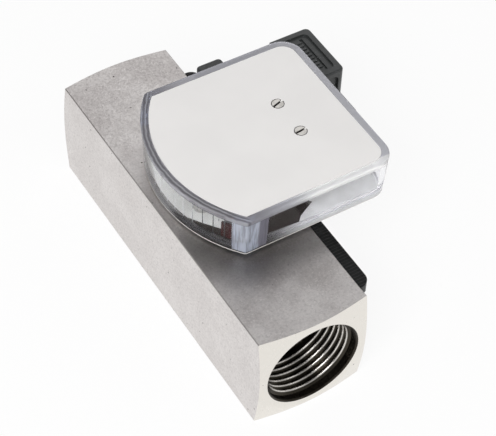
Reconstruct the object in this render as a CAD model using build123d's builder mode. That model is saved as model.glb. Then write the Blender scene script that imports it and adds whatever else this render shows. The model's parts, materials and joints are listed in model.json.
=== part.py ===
"""Variable area flow meter: steel block, spring-loaded piston, magnetic pointer dial and side contact."""

import os
from math import asin, atan2, cos, degrees, radians, sin, sqrt, tan

from build123d import *

os.makedirs("parts", exist_ok=True)

# X runs across the block, Y along the flow and Z up. The origin is the middle of the inlet port's mouth.

# Steel block
bar = 40.0
body_length = 132.5
face_radius = 19.6
face_slope = 14.2
edge_break = 0.3
port_radius = 16.62
port_depth = 18.5
port_chamfer = 0.5
bore_radius = 14.5
land_radius = 13.6

# Clearances
press_gap = 0.03
running_gap = 0.05
slide_gap = 0.1
free_gap = 0.3

# Retaining rings in the bore
ring_margin = 0.6
ring_thickness = 1.2
ring_groove_depth = 1.0
ring_width = 2.3
ring_opening = 7.0
ring_eye_radius = 0.7

# Guides and guide rod
guide_thickness = 4.0
guide_wall = 2.2
guide_spokes = 3
first_spoke_angle = 90.0
spoke_width = 2.2
guide_hub_radius = 4.6
guide_hub_length = 7.2
rod_radius = 2.0

# Piston
disc_radius = 11.0
nose_length = 4.0
disc_rim = 2.0
disc_gap_start = 0.3
disc_gap_end = 2.2
sleeve_overrun = 3.0
sleeve_entry = 5.0
hub_radius = 5.5
bush_radius = 3.22
bush_length = 5.0
magnet_radius = 9.5
magnet_length = 9.0
shoulder_thickness = 2.0
shoulder_radius = 8.0
nut_thickness = 2.5
nut_across_flats = 14.5
spring_mean_radius = 3.5
spring_wire = 0.8
spring_turns = 10

# Dial box: an arc about the pointer pivot on the left, straight sides and two round corners on the right
dial_y = 66.8
pivot_x = 30.6
dial_radius = 46.2
dial_half_width = 30.4
dial_right = 49.0
dial_corner = 5.0
nose_round = 1.2
plate_nose_round = 0.4
plate_fit = 0.15
wall = 1.75
wall_draft = 3.2
rim_round = 0.6
pad_thickness = 1.0
pad_left = -11.0
pad_right = 17.0
pad_half_width = 19.0
base_thickness = 2.2
wall_height = 14.0
plate_thickness = 1.5
ledge_width = 1.2
ledge_thickness = 1.2
corner_post_radius = 4.0

# Scale foil behind the curved window, between the corner posts
foil_thickness = 0.3
foil_end_gap = 0.3
foil_lift = 0.3

# Pointer, driven by the piston's magnet. It swings until its flag is a side gap away from a corner post
flag_side_gap = 0.77
follower_radius = 32.0
follower_size = 2.4
follower_length = 4.8
arm_height = 7.0
arm_thickness = 0.8
arm_hub_width = 4.4
arm_tip_width = 2.2
tail_length = 13.0
flag_width = 3.6
flag_thickness = 0.8
flag_clearance = 0.5
flag_lift = 1.2
hub_size = 3.0
hub_lift = 0.6
counterweight_radius = 3.4
counterweight_place = 10.0
counterweight_thickness = 2.4
spindle_radius = 1.0
bearing_radius = 2.2
boss_radius = 4.0
boss_height = 2.0
bearing_floor = 1.2

# Plate posts, bridge and screws
plate_screw_spacing = 14.3
post_radius = 3.2
bridge_thickness = 1.6
bridge_width = 7.0
bridge_end = 3.5
spacer_thickness = 1.1
plate_screw_radius = 1.25
plate_head_radius = 2.25
plate_screw_grip = 5.5
slot_width = 0.75
slot_depth = 0.6
slot_angles = (6.0, 17.0)
stop_pin_radius = 0.8
stop_pin_place = 17.0
stop_pin_over = 0.6
stop_pin_root = 1.2
base_screw_radius = 1.5
base_head_radius = 2.7
base_head_height = 1.9
base_socket_depth = 0.95
base_screw_grip = 5.0
base_screw_inner = (24.5, 38.0)
base_screw_outer = (38.2, 13.0)

# Rail on the block's right side
rail_start = 5.7
rail_length = 111.0
rail_thickness = 4.2
rail_height = 8.0
rail_round = 3.9
rail_end_cut = 4.4
groove_start = 8.0
groove_mouth = 2.2
groove_height = 4.2
groove_depth = 1.5
groove_back = 1.4
rail_screw_radius = 1.0
rail_head_radius = 1.9
rail_screw_grip = 6.0
rail_screw_inset = 20.0
rail_screw_count = 3

# Contact housing, which slides on the rail
housing_near = 67.2
housing_gap = 0.4
housing_right = 62.5
housing_drop = 0.2
housing_height = 30.0
slim_width = 10.0
slim_length = 50.4
wing_length = 47.0
shoulder_length = 21.3
socket_face = 52.2
housing_wall = 2.0
housing_round = 6.0
housing_small_round = 1.5
lid_thickness = 2.0
tongue_inset = 3.0
tongue_stem = 2.0
tongue_head = 3.8
tongue_head_thickness = 1.0
lid_boss_radius = 2.6
lid_screw_radius = 1.0
lid_head_radius = 1.9
lid_screw_length = 8.0
lock_screw_radius = 1.5
lock_head_radius = 3.0
lock_head_height = 1.6
lock_screw_place = 10.8

# Contact board and reed switch
board_thickness = 1.2
board_height = 13.0
board_inset = 2.4
reed_radius = 1.1
reed_length = 14.0
reed_lead_radius = 0.3
reed_lead_length = 4.0

# Plug
plug_gap = 0.8
gasket_margin = 1.0
plug_width = 16.0
plug_height = 27.0
plug_over = 1.8
plug_end_gap = 1.2
plug_wall = 1.8
plug_round = 2.0
plug_edge_round = 0.8
insert_depth = 8.0
blade_width = 4.0
blade_thickness = 0.8
blade_place = 5.8
blade_reach = 7.0
blade_root = 5.0
recess_margin = 2.4
recess_depth = 0.8
recess_round = 2.0
grip_groove_width = 1.2
grip_groove_depth = 0.6
grip_groove_spacing = 5.2
grip_rib_count = 9
grip_rib_width = 0.6
grip_rib_height = 0.4
grip_rib_pitch = 1.7
end_recess_depth = 1.0
plug_screw_radius = 1.5
plug_head_radius = 2.7
plug_head_height = 1.8
gland_stem_radius = 4.9
gland_stem_length = 4.0
gland_nut_across_flats = 13.0
gland_nut_length = 8.0
cable_hole_radius = 3.1
gland_seal_radius = 4.2
gland_seal_length = 5.0
gland_lip = 2.0

# Places worked out from the sizes above
top = bar / 2
port_end = port_depth + port_radius - bore_radius
ring_groove_width = ring_thickness + slide_gap
ring_y = port_end + ring_margin
guide_y = ring_y + ring_groove_width
sleeve_y = guide_y + guide_thickness
outlet_stop = body_length - sleeve_y
post_angle = degrees(asin(dial_half_width / dial_radius))
foil_half_angle = post_angle - degrees((corner_post_radius + foil_end_gap) / dial_radius)
flag_stop = (corner_post_radius + flag_side_gap + flag_width / 2) / dial_radius
half_sweep = radians(post_angle) - flag_stop
piston_travel = 2 * follower_radius * sin(half_sweep)
magnet_y = dial_y - piston_travel / 2
piston_front = guide_y + guide_hub_length + free_gap
disc_back = piston_front + nose_length + disc_rim
piston_end = magnet_y + magnet_length / 2 + nut_thickness
sleeve_end = disc_back + piston_travel + sleeve_overrun
base_z = top + pad_thickness
floor_z = base_z + base_thickness
dial_top = floor_z + wall_height
plate_z = dial_top - plate_thickness
bridge_z = plate_z - spacer_thickness - bridge_thickness
arm_z = floor_z + arm_height
housing_left = bar / 2 + rail_thickness + housing_gap
housing_top = top + housing_drop
housing_bottom = housing_top - housing_height
plug_near = housing_near + shoulder_length + plug_end_gap
plug_length = wing_length - shoulder_length - plug_end_gap
plug_left = socket_face + plug_gap
plug_top = housing_top + plug_over
plug_y = plug_near + plug_length / 2
plug_z = plug_top - plug_height / 2
groove_z = top - rail_height / 2


def save(piece, label):
    """Name a finished piece and write its file."""
    piece.part.label = label
    export_step(piece.part, f"parts/{label}.step")


def dial_shape(grow, nose):
    """Outline of the dial box about (0, dial_y), larger by grow, its two sharp corners rounded by nose."""
    reach = dial_radius + grow
    side = dial_half_width + grow
    corner_x = pivot_x - sqrt(reach**2 - side**2)
    right = dial_right + grow
    with BuildSketch() as shape:
        with BuildLine():
            ThreePointArc((corner_x, -side), (pivot_x - reach, 0), (corner_x, side))
            Polyline((corner_x, side), (right, side), (right, -side), (corner_x, -side))
        make_face()
        fillet(shape.vertices().group_by(Axis.X)[-1], dial_corner + grow)
        fillet(shape.vertices().group_by(Axis.X)[0], nose)
    return shape.sketch


def box_shape(height):
    """Outline of the dial box's outside at a height above its underside. It leans out towards the rim."""
    lean = height * tan(radians(wall_draft))
    return dial_shape(plate_fit + wall + lean, nose_round + lean)


def dial_plane(z):
    """Level plane of the dial box at height z."""
    return Plane(origin=(0, dial_y, z))


def polar(radius, angle):
    """Point at a distance from the pivot, at an angle from the window's middle towards the outlet."""
    turn = radians(angle)
    return (pivot_x - radius * cos(turn), radius * sin(turn))


def pointer_plane(z):
    """Level plane at the pivot whose X axis runs along the pointer at rest."""
    along = (-cos(half_sweep), -sin(half_sweep), 0)
    return Plane(origin=(pivot_x, dial_y, z), x_dir=along, z_dir=(0, 0, 1))


def housing_shape(inset):
    """Outline of the contact housing in plan, smaller by inset, with a notch for the plug at its far end."""
    left, near = housing_left + inset, housing_near + inset
    notch_y = housing_near + shoulder_length - inset
    wing_y = housing_near + wing_length - inset
    slim_x = housing_left + slim_width - inset
    far = housing_near + slim_length - inset
    with BuildSketch() as shape:
        with BuildLine():
            Polyline(
                (left, near),
                (housing_right - inset, near),
                (housing_right - inset, notch_y),
                (socket_face - inset, notch_y),
                (socket_face - inset, wing_y),
                (slim_x, wing_y),
                (slim_x, far),
                (left, far),
                close=True,
            )
        make_face()
        near_right = shape.vertices().group_by(Axis.X)[-1].sort_by(Axis.Y)[0]
        fillet(near_right, housing_round - inset)
        far_left = shape.vertices().group_by(Axis.Y)[-1]
        fillet(far_left, housing_small_round)
    return shape.sketch


# Steel block: a square bar with both ends turned, bored through and recessed for the threads

# The end cones are drawn out to a radius of one bar width, which is past the bar's corners
corner_reach = bar
end_fall = (corner_reach - face_radius) * tan(radians(face_slope))
mouth_radius = port_radius + port_chamfer
groove_radius = bore_radius + ring_groove_depth
base_screw_places = [
    polar(place[0], side * place[1]) for place in (base_screw_inner, base_screw_outer) for side in (-1, 1)
]
rail_screw_pitch = (rail_length - 2 * rail_screw_inset) / (rail_screw_count - 1)
rail_screw_plane = Plane(
    origin=(bar / 2, rail_start + rail_length / 2, groove_z), x_dir=(0, 1, 0), z_dir=(1, 0, 0)
)

with BuildPart() as block:
    with BuildSketch():
        with BuildLine():
            Polyline(
                (0, 0),
                (face_radius, 0),
                (corner_reach, end_fall),
                (corner_reach, body_length - end_fall),
                (face_radius, body_length),
                (0, body_length),
                close=True,
            )
        make_face()
    revolve(axis=Axis.Y)
    Box(bar, body_length, bar, align=(Align.CENTER, Align.MIN, Align.CENTER), mode=Mode.INTERSECT)
    chamfer(block.edges().filter_by(Axis.Y), edge_break)
    with BuildSketch():
        with BuildLine():
            Polyline(
                (0, 0),
                (mouth_radius, 0),
                (port_radius, port_chamfer),
                (port_radius, port_depth),
                (bore_radius, port_end),
                (bore_radius, ring_y),
                (groove_radius, ring_y),
                (groove_radius, guide_y),
                (bore_radius, guide_y),
                (bore_radius, sleeve_end),
                (land_radius, sleeve_end),
                (land_radius, outlet_stop),
                (bore_radius, outlet_stop),
                (bore_radius, body_length - guide_y),
                (groove_radius, body_length - guide_y),
                (groove_radius, body_length - ring_y),
                (bore_radius, body_length - ring_y),
                (bore_radius, body_length - port_end),
                (port_radius, body_length - port_depth),
                (port_radius, body_length - port_chamfer),
                (mouth_radius, body_length),
                (0, body_length),
                close=True,
            )
        make_face()
    revolve(axis=Axis.Y, mode=Mode.SUBTRACT)
    with BuildSketch(dial_plane(top)):
        with Locations(*base_screw_places):
            Circle(base_screw_radius + running_gap)
    extrude(amount=-(base_screw_grip + free_gap), mode=Mode.SUBTRACT)
    with BuildSketch(rail_screw_plane):
        with GridLocations(rail_screw_pitch, 1, rail_screw_count, 1):
            Circle(rail_screw_radius + running_gap)
    extrude(amount=-(rail_screw_grip + free_gap), mode=Mode.SUBTRACT)
save(block, "steel_block")

# Metering sleeve: a liner whose bore widens along the piston's travel

sleeve_outer = bore_radius - press_gap
sleeve_small = disc_radius + disc_gap_start
sleeve_wide = disc_radius + disc_gap_end
with BuildPart() as sleeve:
    with BuildSketch():
        with BuildLine():
            Polyline(
                (bore_radius - guide_wall, sleeve_y),
                (sleeve_outer, sleeve_y),
                (sleeve_outer, sleeve_end),
                (sleeve_wide, sleeve_end),
                (sleeve_small, disc_back),
                (sleeve_small, sleeve_y + sleeve_entry),
                close=True,
            )
        make_face()
    revolve(axis=Axis.Y)
save(sleeve, "metering_sleeve")


def guide(start, hub_length, label):
    """Spoked guide in the bore, with a hub that holds the guide rod."""
    with BuildPart() as piece:
        with BuildSketch(Plane.XZ.offset(-start)):
            Circle(bore_radius - press_gap)
            Circle(bore_radius - guide_wall, mode=Mode.SUBTRACT)
            with PolarLocations(bore_radius / 2, guide_spokes, first_spoke_angle):
                Rectangle(bore_radius - guide_wall / 2, spoke_width)
            Circle(guide_hub_radius)
        extrude(amount=-guide_thickness)
        with BuildSketch(Plane.XZ.offset(-start)):
            Circle(guide_hub_radius)
        extrude(amount=-hub_length)
        with BuildSketch(Plane.XZ.offset(-start)):
            Circle(rod_radius + press_gap)
        extrude(amount=-hub_length, mode=Mode.SUBTRACT)
    save(piece, label)


guide(guide_y, guide_hub_length, "inlet_guide")
guide(outlet_stop, guide_thickness, "outlet_guide")


def retaining_ring(start, label):
    """Open spring ring that sits in the bore's groove, with an eye at each end."""
    outer = groove_radius - running_gap
    inner = outer - ring_width
    eye_angle = degrees(asin((ring_opening / 2 + 2 * ring_eye_radius) / inner))
    with BuildPart() as piece:
        with BuildSketch(Plane.XZ.offset(-start)):
            Circle(outer)
            Circle(inner, mode=Mode.SUBTRACT)
            with Locations((0, -outer)):
                Rectangle(ring_opening, 2 * outer, mode=Mode.SUBTRACT)
            with PolarLocations(inner, 2, -90 - eye_angle, 2 * eye_angle, endpoint=True):
                Circle(ring_eye_radius * 2)
            with PolarLocations(inner, 2, -90 - eye_angle, 2 * eye_angle, endpoint=True):
                Circle(ring_eye_radius, mode=Mode.SUBTRACT)
        extrude(amount=-ring_thickness)
    save(piece, label)


retaining_ring(guide_y - ring_thickness, "inlet_retaining_ring")
retaining_ring(body_length - guide_y, "outlet_retaining_ring")

rod_end = outlet_stop + guide_thickness
with BuildPart() as rod:
    with BuildSketch(Plane.XZ.offset(-guide_y)):
        Circle(rod_radius)
    extrude(amount=-(rod_end - guide_y))
    chamfer(rod.edges().filter_by(GeomType.CIRCLE), edge_break)
save(rod, "guide_rod")

# Piston: a nosed disc on a long hub, with a shoulder that carries the magnet

shoulder_y = magnet_y - magnet_length / 2 - shoulder_thickness
with BuildPart() as piston:
    with BuildSketch():
        with BuildLine():
            Polyline(
                (bush_radius + press_gap, piston_front),
                (guide_hub_radius, piston_front),
                (disc_radius, disc_back - disc_rim),
                (disc_radius, disc_back),
                (hub_radius, disc_back + disc_rim),
                (hub_radius, shoulder_y),
                (shoulder_radius, shoulder_y),
                (shoulder_radius, shoulder_y + shoulder_thickness),
                (hub_radius, shoulder_y + shoulder_thickness),
                (hub_radius, piston_end),
                (bush_radius + press_gap, piston_end),
                close=True,
            )
        make_face()
    revolve(axis=Axis.Y)
save(piston, "metering_piston")

with BuildPart() as bushes:
    for start in (piston_front, piston_end - bush_length):
        with BuildSketch(Plane.XZ.offset(-start)):
            Circle(bush_radius)
            Circle(rod_radius + running_gap, mode=Mode.SUBTRACT)
        extrude(amount=-bush_length)
save(bushes, "piston_bushes")

with BuildPart() as magnet:
    with BuildSketch(Plane.XZ.offset(magnet_length / 2 - magnet_y)):
        Circle(magnet_radius)
        Circle(hub_radius + press_gap, mode=Mode.SUBTRACT)
    extrude(amount=-magnet_length)
    chamfer(magnet.edges().filter_by(GeomType.CIRCLE).sort_by(SortBy.RADIUS)[-2:], edge_break)
save(magnet, "piston_magnet")

with BuildPart() as nut:
    with BuildSketch(Plane.XZ.offset(nut_thickness - piston_end)):
        RegularPolygon(nut_across_flats / 2, 6, major_radius=False)
        Circle(hub_radius + press_gap, mode=Mode.SUBTRACT)
    extrude(amount=-nut_thickness)
save(nut, "magnet_nut")

# Return spring between the piston's end and the outlet guide's hub

spring_start = piston_end + spring_wire / 2 + running_gap
spring_length = outlet_stop - piston_end - spring_wire - 2 * running_gap
with BuildPart() as spring:
    with BuildLine() as coil:
        Helix(
            pitch=spring_length / spring_turns,
            height=spring_length,
            radius=spring_mean_radius,
            center=(0, spring_start, 0),
            direction=(0, 1, 0),
        )
    with BuildSketch(Plane(origin=coil.line @ 0, z_dir=coil.line % 0)):
        Circle(spring_wire / 2)
    sweep(path=coil.line, is_frenet=True)
save(spring, "return_spring")

# Dial box: pad, clear floor with its posts, clear wall and scale foil

screw_places = [(pivot_x, side * plate_screw_spacing / 2) for side in (-1, 1)]
pin_angle = degrees(half_sweep) + degrees(
    asin((arm_hub_width / 2 + stop_pin_radius + free_gap) / stop_pin_place)
)
pin_places = [polar(stop_pin_place, side * pin_angle) for side in (-1, 1)]

with BuildPart() as pad:
    with BuildSketch(dial_plane(top)):
        with Locations(((pad_left + pad_right) / 2, 0)):
            RectangleRounded(pad_right - pad_left, 2 * pad_half_width, dial_corner)
        with Locations(*base_screw_places):
            Circle(base_screw_radius + free_gap, mode=Mode.SUBTRACT)
    extrude(amount=pad_thickness)
save(pad, "mounting_pad")

opening_shape = dial_shape(plate_fit, plate_nose_round)

with BuildPart() as base:
    with BuildSketch(dial_plane(base_z)):
        add(box_shape(0))
    extrude(amount=base_thickness, taper=-wall_draft)
    chamfer(base.faces().sort_by(Axis.Z)[0].edges(), edge_break)
    with BuildSketch(dial_plane(floor_z)):
        with Locations((pivot_x, 0)):
            Circle(boss_radius)
    extrude(amount=boss_height)
    with BuildSketch(dial_plane(floor_z)):
        with Locations(*screw_places):
            Circle(post_radius)
    extrude(amount=bridge_z - floor_z)
    with BuildSketch(dial_plane(base_z + bearing_floor)):
        with Locations((pivot_x, 0)):
            Circle(bearing_radius)
    extrude(amount=base_thickness + boss_height, mode=Mode.SUBTRACT)
    with BuildSketch(dial_plane(bridge_z)):
        with Locations(*screw_places):
            Circle(plate_screw_radius + running_gap)
    extrude(amount=-(plate_screw_grip + free_gap), mode=Mode.SUBTRACT)
    with BuildSketch(dial_plane(base_z)):
        with Locations(*base_screw_places):
            Circle(base_screw_radius + running_gap)
    extrude(amount=base_thickness, mode=Mode.SUBTRACT)
    with BuildSketch(dial_plane(floor_z)):
        with Locations(*pin_places):
            Circle(stop_pin_radius + press_gap)
    extrude(amount=-stop_pin_root, mode=Mode.SUBTRACT)
save(base, "clear_base")

with BuildPart() as window:
    with BuildSketch(dial_plane(floor_z)):
        add(box_shape(base_thickness))
    extrude(amount=wall_height, taper=-wall_draft)
    with BuildSketch(dial_plane(floor_z)):
        add(opening_shape)
    extrude(amount=wall_height, mode=Mode.SUBTRACT)
    with BuildSketch(dial_plane(plate_z - ledge_thickness)):
        add(opening_shape)
        add(dial_shape(-ledge_width, plate_nose_round), mode=Mode.SUBTRACT)
    extrude(amount=ledge_thickness)
    with BuildSketch(dial_plane(floor_z)):
        with Locations(polar(dial_radius, post_angle), polar(dial_radius, -post_angle)):
            Circle(corner_post_radius)
        add(opening_shape, mode=Mode.INTERSECT)
    extrude(amount=plate_z - floor_z)
    fillet(window.faces().sort_by(Axis.Z)[-1].outer_wire().edges(), rim_round)
save(window, "clear_wall")

foil_outer = dial_radius + plate_fit - running_gap
with BuildPart() as foil:
    with BuildSketch(dial_plane(floor_z + foil_lift)):
        with BuildLine():
            outer = ThreePointArc(
                polar(foil_outer, -foil_half_angle), polar(foil_outer, 0), polar(foil_outer, foil_half_angle)
            )
            inner = ThreePointArc(
                polar(foil_outer - foil_thickness, -foil_half_angle),
                polar(foil_outer - foil_thickness, 0),
                polar(foil_outer - foil_thickness, foil_half_angle),
            )
            Line(outer @ 0, inner @ 0)
            Line(outer @ 1, inner @ 1)
        make_face()
    extrude(amount=wall_height - plate_thickness - ledge_thickness - 2 * foil_lift)
save(foil, "scale_foil")

with BuildPart() as plate:
    with BuildSketch(dial_plane(plate_z)):
        add(dial_shape(0, plate_nose_round))
    extrude(amount=plate_thickness)
    with Locations(*[(x, dial_y + y, dial_top) for x, y in screw_places]):
        CounterSinkHole(
            plate_screw_radius + slide_gap, plate_head_radius + running_gap, depth=plate_thickness
        )
save(plate, "top_plate")


with BuildPart() as plate_screws:
    for (x, y), slot_angle in zip(screw_places, slot_angles):
        with BuildSketch(Plane(origin=(x, dial_y + y, 0), x_dir=(1, 0, 0), z_dir=(0, -1, 0))):
            with BuildLine():
                Polyline(
                    (0, bridge_z - plate_screw_grip),
                    (plate_screw_radius, bridge_z - plate_screw_grip),
                    (plate_screw_radius, dial_top - plate_head_radius + plate_screw_radius),
                    (plate_head_radius, dial_top),
                    (0, dial_top),
                    close=True,
                )
            make_face()
        revolve(axis=Axis((x, dial_y + y, 0), (0, 0, 1)))
        with BuildSketch(Plane(origin=(x, dial_y + y, dial_top))):
            Rectangle(3 * plate_head_radius, slot_width, rotation=slot_angle)
        extrude(amount=-slot_depth, mode=Mode.SUBTRACT)
save(plate_screws, "plate_screws")

with BuildPart() as spacers:
    with BuildSketch(dial_plane(plate_z - spacer_thickness)):
        with Locations(*screw_places):
            Circle(post_radius)
        with Locations(*screw_places):
            Circle(plate_screw_radius + slide_gap, mode=Mode.SUBTRACT)
    extrude(amount=spacer_thickness)
save(spacers, "plate_spacers")

with BuildPart() as bridge:
    with BuildSketch(dial_plane(bridge_z)):
        with Locations((pivot_x, 0)):
            SlotOverall(plate_screw_spacing + 2 * bridge_end, bridge_width, rotation=90)
            Circle(bearing_radius, mode=Mode.SUBTRACT)
        with Locations(*screw_places):
            Circle(plate_screw_radius + slide_gap, mode=Mode.SUBTRACT)
    extrude(amount=bridge_thickness)
save(bridge, "bearing_bridge")


def bearing_bush(start, length, label):
    """Plain bush for the pointer spindle."""
    with BuildPart() as piece:
        with BuildSketch(Plane(origin=(pivot_x, dial_y, start))):
            Circle(bearing_radius - press_gap)
            Circle(spindle_radius + running_gap, mode=Mode.SUBTRACT)
        extrude(amount=length)
    save(piece, label)


lower_bush_z = base_z + bearing_floor
bearing_bush(lower_bush_z, floor_z + boss_height - lower_bush_z, "lower_bearing_bush")
bearing_bush(bridge_z, bridge_thickness, "upper_bearing_bush")

with BuildPart() as pins:
    with BuildSketch(dial_plane(floor_z - stop_pin_root)):
        with Locations(*pin_places):
            Circle(stop_pin_radius)
    extrude(amount=stop_pin_root + arm_height + arm_thickness + stop_pin_over)
save(pins, "stop_pins")

with BuildPart() as base_screws:
    with BuildSketch(dial_plane(floor_z)):
        with Locations(*base_screw_places):
            Circle(base_head_radius)
    extrude(amount=base_head_height)
    chamfer(base_screws.faces().group_by(Axis.Z)[-1].edges(), edge_break)
    with BuildSketch(dial_plane(floor_z)):
        with Locations(*base_screw_places):
            Circle(base_screw_radius)
    extrude(amount=-(base_thickness + pad_thickness + base_screw_grip))
    with BuildSketch(dial_plane(floor_z + base_head_height)):
        with Locations(*base_screw_places):
            RegularPolygon(base_screw_radius, 6)
    extrude(amount=-base_socket_depth, mode=Mode.SUBTRACT)
save(base_screws, "base_screws")

# Pointer: spindle, hub, sheet arm with a tail, red flag, follower magnet and counterweight

spindle_z = lower_bush_z + running_gap
with BuildPart() as spindle:
    with BuildSketch(Plane(origin=(pivot_x, dial_y, spindle_z))):
        Circle(spindle_radius)
    extrude(amount=bridge_z + bridge_thickness - spindle_z)
save(spindle, "pointer_spindle")

hub_z = floor_z + boss_height + hub_lift
with BuildPart() as pointer_hub:
    with BuildSketch(Plane(origin=(pivot_x, dial_y, hub_z))):
        Circle(hub_size)
        Circle(spindle_radius + press_gap, mode=Mode.SUBTRACT)
    extrude(amount=arm_z - hub_z)
save(pointer_hub, "pointer_hub")

flag_outer = foil_outer - foil_thickness - flag_clearance
arm_reach = flag_outer - flag_thickness
with BuildPart() as arm:
    with BuildSketch(pointer_plane(arm_z)):
        with BuildLine():
            Polyline(
                (-tail_length, -arm_hub_width / 2),
                (0, -arm_hub_width / 2),
                (arm_reach, -arm_tip_width / 2),
                (arm_reach, arm_tip_width / 2),
                (0, arm_hub_width / 2),
                (-tail_length, arm_hub_width / 2),
                close=True,
            )
        make_face()
        Circle(hub_size)
        with Locations((follower_radius, 0)):
            Circle(follower_size)
        Circle(spindle_radius + press_gap, mode=Mode.SUBTRACT)
    extrude(amount=arm_thickness)
save(arm, "pointer_arm")

flag_turn = degrees(atan2(flag_width / 2, flag_outer))


def on_arm(radius, angle):
    """Point in the pointer's own plane at a distance from the pivot and an angle off the arm."""
    return (radius * cos(radians(angle)), radius * sin(radians(angle)))


with BuildPart() as flag:
    with BuildSketch(pointer_plane(floor_z + flag_lift)):
        with BuildLine():
            outer = ThreePointArc(
                on_arm(flag_outer, -flag_turn), on_arm(flag_outer, 0), on_arm(flag_outer, flag_turn)
            )
            inner = ThreePointArc(
                on_arm(arm_reach, -flag_turn), on_arm(arm_reach, 0), on_arm(arm_reach, flag_turn)
            )
            Line(outer @ 0, inner @ 0)
            Line(outer @ 1, inner @ 1)
        make_face()
    extrude(amount=arm_height + arm_thickness - flag_lift)
save(flag, "pointer_flag")

with BuildPart() as follower:
    with BuildSketch(pointer_plane(arm_z)):
        with Locations((follower_radius, 0)):
            Circle(follower_size)
    extrude(amount=-follower_length)
    chamfer(follower.faces().sort_by(Axis.Z)[0].edges(), edge_break)
save(follower, "follower_magnet")

with BuildPart() as counterweight:
    with BuildSketch(pointer_plane(arm_z)):
        with Locations((-counterweight_place, 0)):
            Circle(counterweight_radius)
    extrude(amount=-counterweight_thickness)
save(counterweight, "counterweight")

# Rail: a black strip with a T-groove along its outer face, open at the outlet end


def side_plane(x, y, z):
    """Plane that faces +X, with its own X axis along the flow and its Y axis up."""
    return Plane(origin=(x, y, z), x_dir=(0, 1, 0), z_dir=(1, 0, 0))


rail_outer = bar / 2 + rail_thickness
groove_floor = bar / 2 + groove_back
with BuildPart() as rail:
    with BuildSketch(side_plane(bar / 2, rail_start, top)):
        with BuildLine():
            Polyline(
                (0, 0),
                (rail_length, 0),
                (rail_length, rail_end_cut - rail_height),
                (rail_length - rail_end_cut, -rail_height),
                (rail_end_cut, -rail_height),
                (0, rail_end_cut - rail_height),
                close=True,
            )
        make_face()
    extrude(amount=rail_thickness)
    fillet(rail.edges().filter_by(Axis.Z).group_by(Axis.X)[-1], rail_round)
    with BuildSketch(side_plane(rail_outer, rail_start + groove_start, groove_z)):
        Rectangle(rail_length, groove_mouth, align=(Align.MIN, Align.CENTER))
    extrude(amount=groove_floor - rail_outer, mode=Mode.SUBTRACT)
    with BuildSketch(side_plane(groove_floor, rail_start + groove_start, groove_z)):
        Rectangle(rail_length, groove_height, align=(Align.MIN, Align.CENTER))
    extrude(amount=groove_depth, mode=Mode.SUBTRACT)
    rail_screw_places = [
        (groove_floor, rail_start + rail_inset, groove_z)
        for rail_inset in (rail_screw_inset + step * rail_screw_pitch for step in range(rail_screw_count))
    ]
    with Locations(*[Location(side_plane(*place)) for place in rail_screw_places]):
        CounterSinkHole(rail_screw_radius + slide_gap, rail_head_radius + running_gap, depth=groove_back)
save(rail, "switch_rail")

with BuildPart() as rail_screws:
    for x, y, z in rail_screw_places:
        with BuildSketch(Plane(origin=(x, y, z))):
            with BuildLine():
                Polyline(
                    (0, 0),
                    (0, rail_head_radius),
                    (rail_screw_radius - rail_head_radius, rail_screw_radius),
                    (-groove_back - rail_screw_grip, rail_screw_radius),
                    (-groove_back - rail_screw_grip, 0),
                    close=True,
                )
            make_face()
        revolve(axis=Axis((x, y, z), (1, 0, 0)))
save(rail_screws, "rail_screws")

# Contact housing: a moulded shell, open below, with a T-tongue that slides in the rail's groove

tongue_y = housing_near + tongue_inset
tongue_length = slim_length - 2 * tongue_inset
tongue_tip = groove_floor + groove_depth - slide_gap - tongue_head_thickness
lid_boss_x = housing_left + slim_width + lid_boss_radius
lid_places = [
    (lid_boss_x, housing_near + housing_wall + lid_boss_radius),
    (housing_right - housing_round, housing_near + housing_round),
    (lid_boss_x, housing_near + wing_length - housing_wall - lid_boss_radius),
]
lock_y = housing_near + lock_screw_place
lock_z = groove_z - (groove_mouth + rail_height) / 4
blade_places = [(-blade_place, 0), (blade_place, 0), (0, -blade_place), (0, blade_place)]

with BuildPart() as housing:
    with BuildSketch(Plane.XY.offset(housing_bottom)):
        add(housing_shape(0))
    extrude(amount=housing_height)
    fillet(housing.faces().sort_by(Axis.Z)[-1].edges(), plug_edge_round)
    with BuildSketch(Plane.XY.offset(housing_bottom)):
        add(housing_shape(housing_wall))
    extrude(amount=housing_height - housing_wall, mode=Mode.SUBTRACT)
    with BuildSketch(Plane.XY.offset(housing_bottom + lid_thickness)):
        with Locations(*lid_places):
            Circle(lid_boss_radius)
    extrude(amount=housing_height - lid_thickness - housing_wall / 2)
    with BuildSketch(Plane.XY.offset(housing_bottom + lid_thickness)):
        with Locations(*lid_places):
            Circle(lid_screw_radius + press_gap)
    extrude(amount=lid_screw_length, mode=Mode.SUBTRACT)
    with BuildSketch(side_plane(housing_left, tongue_y, groove_z)):
        Rectangle(tongue_length, tongue_stem, align=(Align.MIN, Align.CENTER))
    extrude(amount=tongue_tip - housing_left)
    with BuildSketch(side_plane(tongue_tip, tongue_y, groove_z)):
        Rectangle(tongue_length, tongue_head, align=(Align.MIN, Align.CENTER))
    extrude(amount=tongue_head_thickness)
    with BuildSketch(side_plane(housing_right, lock_y, lock_z)):
        Circle(lock_head_radius + running_gap)
    extrude(amount=-lock_head_height, mode=Mode.SUBTRACT)
    with BuildSketch(side_plane(housing_right, lock_y, lock_z)):
        Circle(lock_screw_radius + running_gap)
    extrude(amount=rail_outer - housing_right, mode=Mode.SUBTRACT)
    with BuildSketch(side_plane(socket_face, plug_y, plug_z)):
        with Locations(*blade_places):
            Rectangle(blade_width + 2 * press_gap, blade_thickness + 2 * press_gap)
        Circle(plug_screw_radius + press_gap)
    extrude(amount=-housing_wall, mode=Mode.SUBTRACT)
save(housing, "contact_housing")

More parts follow.
